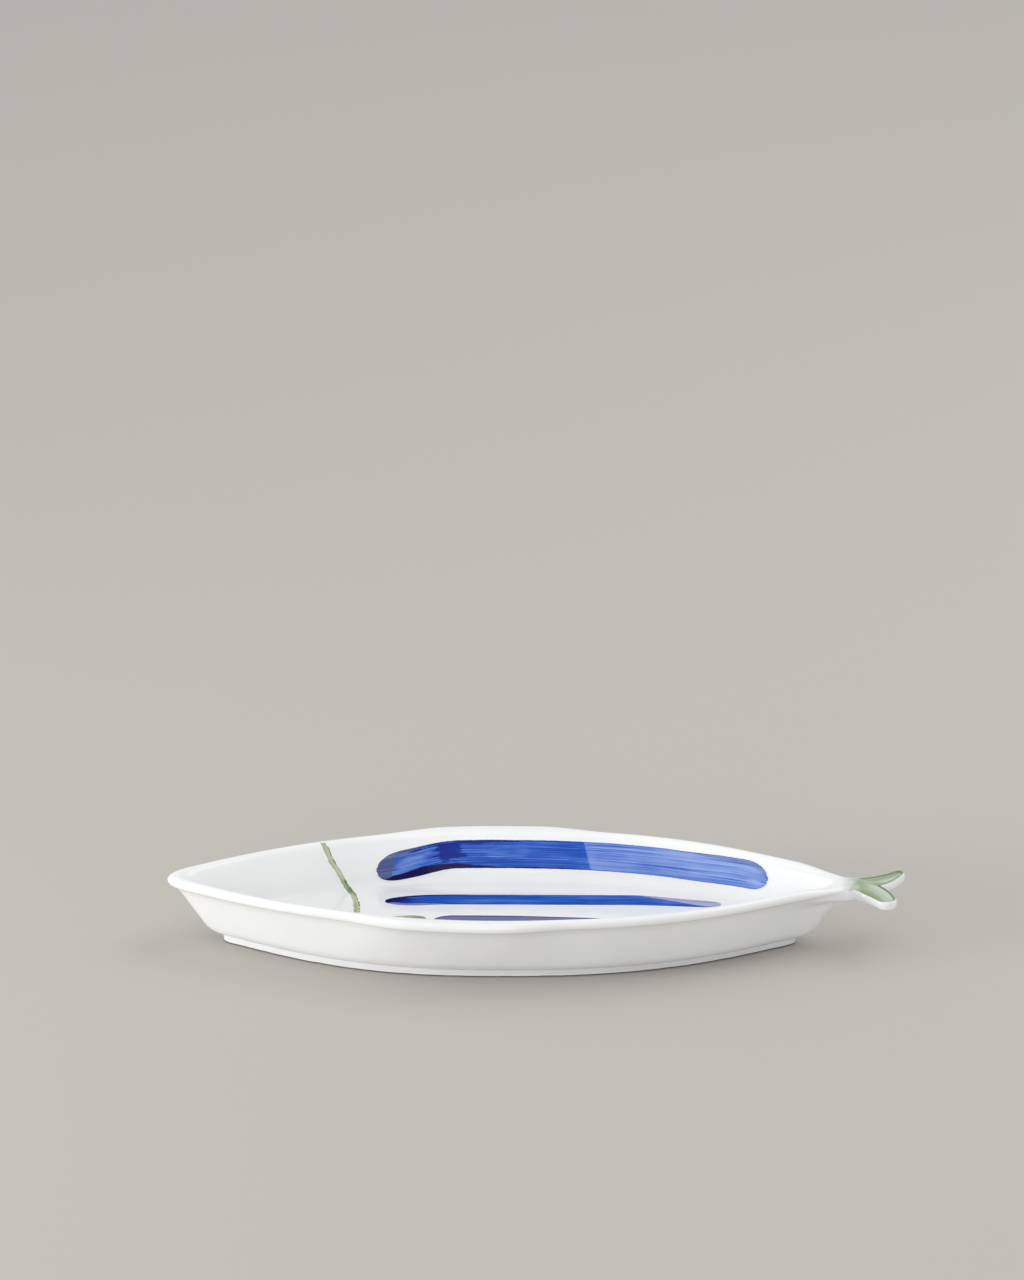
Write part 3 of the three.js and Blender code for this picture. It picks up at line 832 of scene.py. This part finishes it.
def lobe_at(lobe, t):
    """Centre, heading, half width and top of a lobe at t from root to tip."""
    root = Vector((NECK_X, 0.0))
    bend = Vector((NECK_X + LOBE_BEND, 0.0))
    tip = Vector((NECK_X + lobe["tip"][0], lobe["tip"][1]))
    early = root.lerp(bend, t)
    late = bend.lerp(tip, t)
    waist = 2 * LOBE_BEND * WAIST_SLOPE * t * (1 - t) ** WAIST_FADE
    half = lerp(NECK_HALF_WIDTH, lobe["tip_half"], t * t) - waist
    top = NECK_TOP_Z - LOBE_DROOP * float(smoothstep(t, 0.0, 1.0))
    return early.lerp(late, t), (late - early).normalized(), half, top


def lobe_ring(lobe, t, scale=1.0, ahead=0.0, points=56):
    """Ring around a lobe, drawn in by a scale and moved ahead where the lobe is rounded off at its tip."""
    centre, heading, half, top = lobe_at(lobe, t)
    side = Vector((-heading.y, heading.x))
    half_height = lerp(NECK_HALF_HEIGHT, LOBE_TIP_HALF_HEIGHT, t)
    ring = []
    for k in range(points):
        angle = 2 * math.pi * k / points
        flat = centre + heading * ahead + side * half * scale * squared(math.cos(angle))
        up = half_height * lerp(TIP_ROUNDING, 1.0, scale) * squared(math.sin(angle))
        ring.append((flat.x, flat.y, top - half_height + up))
    return ring


def root_ring(lobe, back):
    """Ring that carries the lobe's root back into the neck, with the slope of the waist."""
    wider = 1 + WAIST_SLOPE * back / NECK_HALF_WIDTH
    return [(x - back, y * wider, z) for x, y, z in lobe_ring(lobe, 0.0)]


def add_loft(bm, rings):
    """A tube through the rings, closed at both ends."""
    rows = [[bm.verts.new(p) for p in ring] for ring in rings]
    count = len(rows[0])
    for a, b in zip(rows, rows[1:]):
        for k in range(count):
            bm.faces.new((a[k], a[(k + 1) % count], b[(k + 1) % count], b[k]))
    bm.faces.new(reversed(rows[0]))
    bm.faces.new(rows[-1])


def lobe_rings(lobe):
    """All rings of a lobe, from inside the neck to its rounded tip."""
    rings = [root_ring(lobe, back) for back in ROOT_RINGS]
    rings += [lobe_ring(lobe, k / LOBE_RINGS) for k in range(LOBE_RINGS + 1)]
    for k in range(1, TIP_RINGS + 1):
        turn = k / TIP_END * math.pi / 2
        rings.append(lobe_ring(lobe, 1.0, math.cos(turn), lobe["tip_half"] * math.sin(turn)))
    return rings


def tray_reach(points):
    """For points of the tail in plan: how far inside a tray's edge they lie, how far along its lobe, and how
    far from the lobe's middle towards the belly."""
    best = np.full(len(points), -np.inf)
    along = np.zeros(len(points))
    aside = np.zeros(len(points))
    for lobe in LOBES:
        steps = np.linspace(0.0, 1.0, SPINE_POINTS)
        spine = [lobe_at(lobe, t) for t in steps]
        centre = np.array([tuple(s[0]) for s in spine])
        heading = np.array([tuple(s[1]) for s in spine])
        half = np.array([s[2] for s in spine])
        gap = np.linalg.norm(points[:, None, :] - centre[None], axis=2)
        nearest = np.argmax(half[None] - gap, axis=1)
        inside = half[nearest] - TRAY_EDGE - gap[np.arange(len(points)), nearest]
        off = points - centre[nearest]
        to_belly = heading[nearest, 1] * off[:, 0] - heading[nearest, 0] * off[:, 1]
        closer = inside > best
        best = np.where(closer, inside, best)
        along = np.where(closer, steps[nearest], along)
        aside = np.where(closer, to_belly, aside)
    return best, along, aside


def vertex_array(mesh, name):
    found = np.empty(len(mesh.vertices) * 3)
    mesh.vertices.foreach_get(name, found)
    return found.reshape(-1, 3)


def tail_piece(material):
    """Both lobes fused by a fine remesh and softened as under glaze, with their trays pressed in."""
    mesh = bpy.data.meshes.new("tail_fin_glazed")
    with edited(mesh) as bm:
        for lobe in LOBES:
            add_loft(bm, lobe_rings(lobe))
        bmesh.ops.recalc_face_normals(bm, faces=bm.faces)
    tail = add_object("tail_fin_glazed", mesh)
    remesh = tail.modifiers.new("fuse", "REMESH")
    remesh.mode = "VOXEL"
    remesh.voxel_size = TAIL_VOXEL
    soften = tail.modifiers.new("soften", "SMOOTH")
    soften.iterations = TAIL_SMOOTHING
    bake(tail)
    points = vertex_array(tail.data, "co")
    normals = vertex_array(tail.data, "normal")
    inside, along, _ = tray_reach(points[:, :2])
    tray = smoothstep(inside, *TRAY_SIDE) * smoothstep(along, *TRAY_RAMP)
    points[:, 2] -= TRAY_DEPTH * tray * smoothstep(normals[:, 2], *TRAY_FACING)
    tail.data.vertices.foreach_set("co", points.ravel())
    with edited(tail.data) as bm:
        cut = bm.verts[:] + bm.edges[:] + bm.faces[:]
        joint = (NECK_X - TAIL_LAP, 0, 0)
        bmesh.ops.bisect_plane(bm, geom=cut, plane_co=joint, plane_no=(1, 0, 0), clear_inner=True)
        edges = [e for e in bm.edges if e.is_boundary]
        bmesh.ops.holes_fill(bm, edges=edges, sides=0)
        for face in bm.faces:
            face.smooth = True
        for edge in edges:
            edge.smooth = False
    tail.data.materials.clear()
    tail.data.materials.append(material)
    return tail


def tail_film(tail, material):
    """The green wash on the tail: a thin skin over its upper face."""
    mesh = tail.data.copy()
    mesh.name = "tail_wash_brushed"
    with edited(mesh) as bm:
        bm.normal_update()
        bmesh.ops.delete(bm, geom=[f for f in bm.faces if f.normal.z < WASH_FACING], context="FACES")
    points = vertex_array(mesh, "co")
    for label, values in zip(WASH_MARKS, tray_reach(points[:, :2])):
        float_layer(mesh, label, values)
    points[:, 2] += STROKE_LIFT
    mesh.vertices.foreach_set("co", points.ravel())
    mesh.materials.clear()
    mesh.materials.append(material)
    return thicken(add_object("tail_wash_brushed", mesh))


def thicken(film):
    """Gives a film its thickness, downwards, and keeps the corner at its rim sharp."""
    skin = film.modifiers.new("skin", "SOLIDIFY")
    skin.thickness = FILM_THICKNESS
    skin.offset = -1.0
    bake(film)
    film.data.set_sharp_from_angle(angle=FILM_CREASE)
    return film


def stroke_end(distance, reach):
    """Round end of a stroke: 0 at its tip, 1 from its reach on."""
    return np.sqrt(1 - (1 - np.clip(distance / reach, 0.0, 1.0)) ** 2)


def bend_of(stroke, x, key):
    """What the head and tail ends of a stroke add to its middle or to its half width."""
    added = np.zeros_like(x)
    if "head" in stroke:
        head = stroke["head"]
        added += head[key] * (1 - smoothstep(x, head["from"], head["to"]))
    if "tail" in stroke:
        tail = stroke["tail"]
        added += tail[key] * smoothstep(x, tail["from"], tail["to"])
    return added


def edge_distance(points, border):
    """Distance from each point to the nearest point of a stroke's border."""
    found = np.empty(len(points))
    for k in range(0, len(points), POINTS_AT_ONCE):
        some = slice(k, k + POINTS_AT_ONCE)
        found[some] = np.linalg.norm(points[some, None] - border[None], axis=2).min(axis=1)
    return found


def listed(pairs, x):
    """Value at x of a list of (x, value) along a stroke."""
    return np.interp(x, *zip(*pairs))


def blot_field(blots, x, across):
    """How deep in a blot each point of a stroke lies: 1 at its middle, 0 on its edge, down to -1 outside."""
    deepest = np.full_like(x, -1.0)
    for at_x, at_across, half_length, half_width in blots:
        far = np.hypot((x - at_x) / half_length, (across - at_across) / half_width)
        deepest = np.maximum(deepest, 1 - far)
    return deepest


def flat_sheet(name, points, marks, rows, columns):
    """A flat grid of a stroke, with what its brush marks need as attributes."""
    index = np.arange(rows * columns).reshape(rows, columns)
    faces = np.stack([index[:-1, :-1], index[1:, :-1], index[1:, 1:], index[:-1, 1:]], -1).reshape(-1, 4)
    mesh = bpy.data.meshes.new(name)
    mesh.from_pydata([(x, y, 0.0) for x, y in points], [], faces.tolist())
    for label, columns_of in marks.items():
        attribute = mesh.attributes.new(label, "FLOAT_VECTOR", "POINT")
        attribute.data.foreach_set("vector", np.stack(columns_of, -1).astype(np.float32).ravel())
    return mesh


def stroke_half(stroke, x):
    """Half width of a stroke at x, with its rounded ends."""
    half = stroke["half"] + bend_of(stroke, x, "swell")
    half = half * stroke_end(x - stroke["start"], stroke["start_taper"])
    return half * stroke_end(stroke["end"] - x, stroke["end_taper"])


def lengthwise_sheet(name, stroke, columns=44):
    """A stroke along the dish. Square is how many millimetres of surface one step of its Y stands for."""
    square = WALL_STEP if stroke["on_wall"] else 1.0
    rows = stroke["rows"]
    line = np.linspace(stroke["start"] - STROKE_MARGIN, stroke["end"] + STROKE_MARGIN, rows)
    middle = stroke["middle"] + bend_of(stroke, line, "shift")
    reach = stroke_half(stroke, line) + STROKE_MARGIN / square
    aside = reach[:, None] * np.linspace(-1.0, 1.0, columns)[None]
    x = np.repeat(line, columns)
    y = (middle[:, None] + aside).ravel()
    across = aside.ravel() * square
    half = stroke_half(stroke, x) * square
    border_x = np.linspace(stroke["start"], stroke["end"], BORDER_POINTS)
    border_y = stroke_half(stroke, border_x) * square
    border = np.concatenate([np.stack([border_x, side * border_y], -1) for side in (1, -1)])
    distance = edge_distance(np.stack([x, across], -1), border)
    edge = np.where(np.abs(across) > half, -distance, distance)
    load = listed(stroke["load"], x + stroke.get("slant", 0.0) * across)
    pool = listed(stroke["pool"], x) - (half - across)
    veil = listed(stroke["veil"], x) - (half + across)
    dropped = blot_field(stroke.get("dropped", ()), x, across)
    lifted = blot_field(stroke.get("lifted", ()), x, across)
    marks = {"stroke": (x, across, edge), "colour": (load, pool, veil), "blots": (dropped, lifted, 0 * x)}
    return flat_sheet(name, np.stack([x, y], -1), marks, rows, columns)


def through(knots, t):
    """Point of a smooth line through the knots, by Catmull-Rom."""
    place_on = np.clip(t, 0.0, 1.0) * (len(knots) - 1)
    k = min(int(place_on), len(knots) - 2)
    f = place_on - k
    p = [np.array(knots[min(max(k + d, 0), len(knots) - 1)]) for d in (-1, 0, 1, 2)]
    bend = 2 * p[0] - 5 * p[1] + 4 * p[2] - p[3]
    twist = 3 * p[1] - p[0] - 3 * p[2] + p[3]
    return 0.5 * (2 * p[1] + (p[2] - p[0]) * f + bend * f**2 + twist * f**3)


def gill_sheet(name, stroke, rows=150, columns=20):
    """The gill line, from the rim's crest down the wall and over the floor."""
    line = np.array([through(stroke["knots"], t) for t in np.linspace(0.0, 1.0, rows)])
    steps = np.linalg.norm(np.diff(line, axis=0), axis=1)
    length = np.concatenate([[0.0], np.cumsum(steps)])
    half = stroke["half"]
    aside = (half + STROKE_MARGIN) * np.linspace(-1.0, 1.0, columns)
    across = np.tile(aside, rows)
    along = np.repeat(length, columns)
    x = np.repeat(line[:, 0], columns) + across
    inset = np.repeat(line[:, 1], columns)
    to_end = np.minimum(along, length[-1] - along)
    edge = np.minimum(half - np.abs(across), to_end - STROKE_MARGIN)
    pool = listed(stroke["pool"], along) - half + across
    veil = listed(stroke["veil"], along) - half - across
    blots = np.full_like(along, -1.0)
    marks = {
        "stroke": (along, across, edge),
        "colour": (listed(stroke["load"], along), pool, veil),
        "blots": (blots, blots, blots),
    }
    return flat_sheet(name, np.stack([x, inset], -1), marks, rows, columns)


def lay_stroke(name, stroke, tree, dish, material):
    """A stroke's film, laid on the dish, thickened and made a plain mesh."""
    sheet = gill_sheet(name, stroke) if "knots" in stroke else lengthwise_sheet(name, stroke)
    film = add_object(name, sheet)
    grow(film, tree, {"Dish": dish, "On Wall": float(stroke["on_wall"]), "Material": material})
    return thicken(film)


def new_material(name):
    material = bpy.data.materials.new(name)
    material.use_nodes = True
    tree = material.node_tree
    return material, tree, tree.nodes["Principled BSDF"]


def noise(vector, scale, detail):
    """Noise with so many cells to one step of the vector, which is a metre of the dish or a grain's step."""
    node = place(vector.tree, "ShaderNodeTexNoise", {"Vector": vector, "Scale": scale, "Detail": detail})
    return Field(node.outputs["Fac"])


def blend_colours(amount, first, second):
    node = place(amount.tree, "ShaderNodeMix", {"Factor": amount}, data_type="RGBA")
    feed(first, node.inputs[MIX_FIRST])
    feed(second, node.inputs[MIX_SECOND])
    return Field(node.outputs[MIX_RESULT])


def colour(hex_code):
    """Linear colour of a written sRGB one."""
    parts = [int(hex_code[k : k + 2], 16) / 255 for k in (0, 2, 4)]
    return (*[v / 12.92 if v <= 0.04045 else ((v + 0.055) / 1.055) ** 2.4 for v in parts], 1.0)


def glaze_group():
    """White glaze: its tint, cooler where it lies thick (partly painted shade in the crease under the bead),
    its gloss and its slight unevenness.
    """
    inputs = {"Position": (0.0, 0.0, 0.0), "Pool": 0.0}
    outputs = {"Tint": (1.0, 1.0, 1.0, 1.0), "Roughness": 0.0, "Height": 0.0}
    tree, given, end = new_group("glaze_skin", "ShaderNodeTree", inputs, outputs)
    spot = given["Position"]
    cloud = noise(spot, scale=28.0, detail=3.0)
    thick = limit(given["Pool"] * 0.7 + ease(cloud, 0.35, 0.75) * 0.16)
    haze = noise(spot, scale=90.0, detail=3.0)
    swell = noise(spot, scale=45.0, detail=1.0)
    peel = noise(spot, scale=420.0, detail=1.0)
    give(
        end,
        Tint=blend_colours(thick, colour(THIN_GLAZE), colour(THICK_GLAZE)),
        Roughness=0.07 + 0.07 * haze,
        Height=swell * 0.8 + peel * 0.06,
    )
    return tree


def brush_group():
    """Marks of a loaded brush: how far the colour covers, how deep it lies, where it pooled and thinned."""
    inputs = {
        "Stroke": (0.0, 0.0, 0.0),
        "Colour": (0.5, 0.0, 0.0),
        "Blots": (-1.0, -1.0, 0.0),
        "Seed": 0.0,
        "Bristles": 1.0,
        "Raggedness": 0.3,
        "Streaks": 1.0,
    }
    outputs = {"Ink": 0.0, "Depth": 0.0, "Pool": 0.0, "Veil": 0.0}
    tree, given, end = new_group("brush_marks", "ShaderNodeTree", inputs, outputs)
    along, across, edge = parts_of(given["Stroke"])
    load, pool, veil = parts_of(given["Colour"])
    dropped, lifted, _ = parts_of(given["Blots"])
    bristles = given["Bristles"]

    def grain(step_along, step_across, detail):
        steps = {"X": along * step_along, "Y": across * step_across, "Z": given["Seed"]}
        return noise(Field(place(tree, "ShaderNodeCombineXYZ", steps).outputs[0]), 1.0, detail) - 0.5

    ragged = (grain(0.3, 0.7, 3.0) + grain(0.06, 0.2, 1.0)) * given["Raggedness"]
    fine = grain(0.02, bristles * 1.25, 2.0)
    broad = grain(0.012, bristles * 0.4, 2.0)
    scratch = ease(grain(0.01, bristles * 1.3, 1.0), 0.1, 0.2)
    cloudy = grain(0.07, 0.16, 3.0)
    hairs = grain(0.03, bristles * 2.6, 1.0)
    lines = ease(grain(0.016, bristles * 1.9, 1.0), 0.08, 0.2)
    streaks = (fine * 0.85 + hairs * 0.5 + broad * 0.4 + lines * 0.15 - scratch * 0.16) * given["Streaks"]
    border = ease(edge + ragged, 0.7, 0.1) * 0.13
    frayed = fine * 1.6 + grain(0.16, 0.35, 3.0) * 1.5
    more = ease(dropped + frayed, 0.0, 0.3) * 0.5
    less = ease(lifted + frayed * 0.5, 0.0, 0.5) * ease(fine + hairs, -0.05, 0.12) * 0.26
    give(
        end,
        Ink=ease(edge + ragged, -0.06, 0.14),
        Depth=limit(load + streaks + border + cloudy * 0.3 + more - less),
        Pool=ease(pool + ragged * 2.0, -0.12, 0.3),
        Veil=ease(veil + ragged * 3.0, -0.7, 0.7),
    )
    return tree


def use_group(tree, group, **inputs):
    """A shader group placed in a material: its outputs as fields."""
    node = place(tree, "ShaderNodeGroup", inputs, node_tree=group)
    return {socket.name: Field(socket) for socket in node.outputs}


def object_position(tree):
    return Field(tree.nodes.new("ShaderNodeTexCoord").outputs["Object"])


def read_attribute(tree, name, output="Fac"):
    node = place(tree, "ShaderNodeAttribute", attribute_name=name)
    return Field(node.outputs[output])


def coat(shader, tint, roughness, height):
    """Gives a shader its tint, its gloss and the unevenness of the glaze."""
    feed(tint, shader.inputs["Base Color"])
    feed(roughness, shader.inputs["Roughness"])
    uneven = {"Height": height, "Distance": GLAZE_BUMP, "Strength": 1.0}
    feed(place(shader.id_data, "ShaderNodeBump", uneven), shader.inputs["Normal"])
    shader.inputs["IOR"].default_value = GLAZE_IOR


def wash_cloud(spot):
    return noise(spot, scale=260.0, detail=3.0) - 0.5


def wash_fade(spot):
    """How far the green of the tail has come in along the neck, ragged by a slow noise."""
    x, _, _ = parts_of(spot)
    return limit((x / MM - WASH_FROM_X) / WASH_FADE * (1.0 + wash_cloud(spot)))


def glaze_material(name, glaze, blushes=False):
    """White glaze. On the dish it blushes, where the green of the tail thins out over the neck."""
    material, tree, shader = new_material(name)
    spot = object_position(tree)
    skin = use_group(tree, glaze, Position=spot, Pool=read_attribute(tree, "pool"))
    tint = skin["Tint"]
    if blushes:
        _, _, z = parts_of(spot)
        on_top = ease(z / MM, *BLUSH_Z)
        tint = blend_colours(wash_fade(spot) * on_top, tint, colour(ROOT_GREEN))
    coat(shader, tint, skin["Roughness"], skin["Height"])
    return material


def foot_material(glaze):
    """Glazed down to the standing edge, which is wiped to the bare clay, with painted contact shadow in
    between.
    """
    material, tree, shader = new_material("foot_clay")
    spot = object_position(tree)
    skin = use_group(tree, glaze, Position=spot, Pool=FOOT_POOL)
    _, _, z = parts_of(spot)
    level = z / MM + (noise(spot, scale=120.0, detail=2.0) - 0.5) * 0.5
    glazed = ease(level, *FOOT_GLAZE_Z)
    grain = noise(spot, scale=2600.0, detail=3.0)
    clay = blend_colours(grain, colour(DARK_CLAY), colour(PALE_CLAY))
    # Painted contact shadow: a dark band between the bare clay at the bottom and the glaze line
    clay = blend_colours(ease(level, *FOOT_CONTACT_SHADOW_Z), clay, colour(FOOT_CONTACT_SHADOW))
    tint = blend_colours(glazed, clay, skin["Tint"])
    height = skin["Height"] + grain * (1.0 - glazed) * 0.2
    coat(shader, tint, lerp(CLAY_ROUGHNESS, skin["Roughness"], glazed), height)
    return material


def stroke_material(name, glaze, brush, shades, **marks):
    """Colour brushed under the glaze: its shades from thin to thick, where it thinned and where it pooled."""
    material, tree, shader = new_material(name)
    skin = use_group(tree, glaze, Position=object_position(tree), Pool=read_attribute(tree, "pool"))
    for label in ("Stroke", "Colour", "Blots"):
        marks[label] = read_attribute(tree, label.lower(), "Vector")
    painting = use_group(tree, brush, **marks)
    depth = painting["Depth"]
    ramp = place(tree, "ShaderNodeValToRGB", {"Fac": depth})
    stops = ramp.color_ramp.elements
    while len(stops) < len(shades["ramp"]):
        stops.new(0.5)
    for stop, (spot, shade) in zip(stops, shades["ramp"]):
        stop.position = spot
        stop.color = colour(shade)
    veil = painting["Veil"] * shades["veil_strength"] * limit(0.2 + depth * 1.6)
    tint = blend_colours(veil, ramp, colour(shades["veil"]))
    tint = blend_colours(painting["Pool"], tint, colour(shades["pool"]))
    tint = blend_colours(painting["Ink"], skin["Tint"], tint)
    coat(shader, tint, skin["Roughness"], skin["Height"])
    shader.inputs["Specular IOR Level"].default_value = STROKE_SHINE
    return material


def wash_material(glaze):
    """Thin green on the tail: brown on its edges, pooled under them, and fading out over the neck."""
    material, tree, shader = new_material("green_wash")
    spot = object_position(tree)
    skin = use_group(tree, glaze, Position=spot, Pool=0.0)
    inside, along, aside = [read_attribute(tree, label) for label in WASH_MARKS]
    _, y, _ = parts_of(spot)
    cloud = wash_cloud(spot)
    fleck = noise(spot, scale=700.0, detail=3.0) - 0.5
    wavy = inside + cloud * 0.9
    pooled = ease(wavy, 1.3, 0.2) * ease(wavy, -0.5, 0.0) * ease(along, 0.25, 0.5)
    brown = ease(inside + fleck * 0.4, -0.05, -0.35)
    root = ease(along + cloud * 0.3, 0.6, 0.2)
    far_lobe = ease(y / MM + cloud * 4.0, 1.0, 5.0)
    deep = limit(root + far_lobe * 0.7 + fleck * 0.8)
    ragged_side = aside + cloud * 2.0
    lit = lerp(ease(ragged_side, 0.2, -2.4), ease(ragged_side, 0.6, 2.2), far_lobe)
    shaded = lerp(ease(ragged_side, 0.6, 3.2), ease(ragged_side, 1.2, -0.6), far_lobe)
    apart = ease(along, 0.25, 0.6)
    green = blend_colours(deep, colour(LOBE_GREEN), colour(ROOT_GREEN))
    green = blend_colours(lit * apart * 0.8, green, colour(LIT_GREEN))
    green = blend_colours(shaded * apart * 0.7, green, colour(SHADED_GREEN))
    green = blend_colours(pooled, green, colour(POOLED_GREEN))
    green = blend_colours(brown * 0.75, green, colour(EDGE_BROWN))
    cover = ease(inside + fleck * 0.3, -0.75, -0.45) * wash_fade(spot)
    coat(shader, blend_colours(cover, skin["Tint"], green), skin["Roughness"], skin["Height"])
    return material


glaze = glaze_group()
brush = brush_group()
dish_glaze = glaze_material("dish_glaze", glaze, blushes=True)
white_glaze = glaze_material("white_glaze", glaze)
foot_clay = foot_material(glaze)
blue_back = stroke_material("blue_back_stripe", glaze, brush, BLUE, Seed=3.0)
blue_middle = stroke_material("blue_middle_stripe", glaze, brush, PALE_BLUE, Seed=17.0, Bristles=0.6)
blue_lower = stroke_material(
    "blue_lower_stripe", glaze, brush, GREY_BLUE, Seed=29.0, Bristles=0.6, Streaks=1.2
)
green_gill = stroke_material("green_gill_line", glaze, brush, SAGE, Seed=41.0, Raggedness=1.8)
green_dab = stroke_material("green_fin_dab", glaze, brush, SAGE, Seed=53.0, Bristles=0.6)
green_wash = wash_material(glaze)

outline = outline_group()
loft = loft_tree(outline)
lay = lay_tree(outline)

dish = section_object("dish_body_glazed", shell_stations())
drop_slivers(bake(grow(dish, loft, {"Material": dish_glaze})))
foot = section_object("foot_ring_clay", foot_stations())
bake(grow(foot, loft, {"Material": foot_clay, "Shift X": FOOT_SHIFT_X}))
tail = tail_piece(white_glaze)
wash = tail_film(tail, green_wash)
pieces = [
    (dish, "white_glaze", "dish_body"),
    (foot, "bare_clay", "foot_ring"),
    (tail, "white_glaze", "tail_fin"),
    (wash, "green_brush", "tail_wash"),
]
strokes = (
    ("back_stripe", BACK_STRIPE, blue_back, "blue_stripe"),
    ("middle_stripe", MIDDLE_STRIPE, blue_middle, "blue_stripe"),
    ("lower_stripe", LOWER_STRIPE, blue_lower, "blue_stripe"),
    ("fin_dab", FIN_DAB, green_dab, "green_brush"),
    ("gill_line", GILL_LINE, green_gill, "green_brush"),
)
for node, stroke, paint, slot in strokes:
    pieces.append((lay_stroke(f"{node}_brushed", stroke, lay, dish, paint), slot, node))

# The strokes are laid on the dish in the maker's frame, so no piece moves to the row before all are made
for piece in pieces:
    settle(*piece)


def studio_floor():
    name = "studio_floor"
    mesh = bpy.data.meshes.new(name)
    mesh.from_pydata([(x * FLOOR_REACH, y * FLOOR_REACH, 0) for x, y in FLOOR_CORNERS], [], [(0, 1, 2, 3)])
    plane = add_object(name, mesh)
    material, _, shader = new_material(name)
    shader.inputs["Base Color"].default_value = colour(FLOOR_SHADE)
    shader.inputs["Roughness"].default_value = FLOOR_ROUGHNESS
    mesh.materials.append(material)


def area_lamp(name, spot, size, watts):
    """A round lamp that is aimed at the dish."""
    data = bpy.data.lights.new(name, "AREA")
    data.shape = "DISK"
    data.size = size
    data.energy = watts
    lamp = bpy.data.objects.new(name, data)
    lamp.location = spot
    lamp.rotation_euler = (Vector() - Vector(spot)).to_track_quat("-Z", "Y").to_euler()
    scene.collection.objects.link(lamp)


studio_floor()
for lamp in LAMPS:
    area_lamp(*lamp)

world = bpy.data.worlds.new("studio")
world.use_nodes = True
sky = world.node_tree.nodes["Background"]
sky.inputs["Color"].default_value = SKY_COLOUR
sky.inputs["Strength"].default_value = SKY_STRENGTH
scene.world = world


def photograph_camera():
    """Camera at the photograph's angle, found from the aim point's pixel and the distance to it."""
    right_px = (AIM_PIXEL[0] - IMAGE[0] / 2) / FOCAL_PIXELS
    down_px = (AIM_PIXEL[1] - IMAGE[1] / 2) / FOCAL_PIXELS
    pitch = CAMERA_ELEVATION - math.atan(down_px)
    forward = Vector((0.0, math.cos(pitch), -math.sin(pitch)))
    right = Vector((1.0, 0.0, 0.0))
    up = right.cross(forward)
    ray = (forward + right * right_px - up * down_px).normalized()
    turn = Matrix.Rotation(CAMERA_TURN, 3, "Z")
    data = bpy.data.cameras.new("photograph")
    data.sensor_width = SENSOR
    data.lens = SENSOR * FOCAL_PIXELS / IMAGE[1]
    camera = bpy.data.objects.new("photograph", data)
    camera.location = MAKER_TO_ROW @ (turn @ (AIM - ray * CAMERA_DISTANCE))
    camera.rotation_euler = (math.pi / 2 - pitch, 0.0, CAMERA_TURN)
    scene.collection.objects.link(camera)
    scene.camera = camera


photograph_camera()
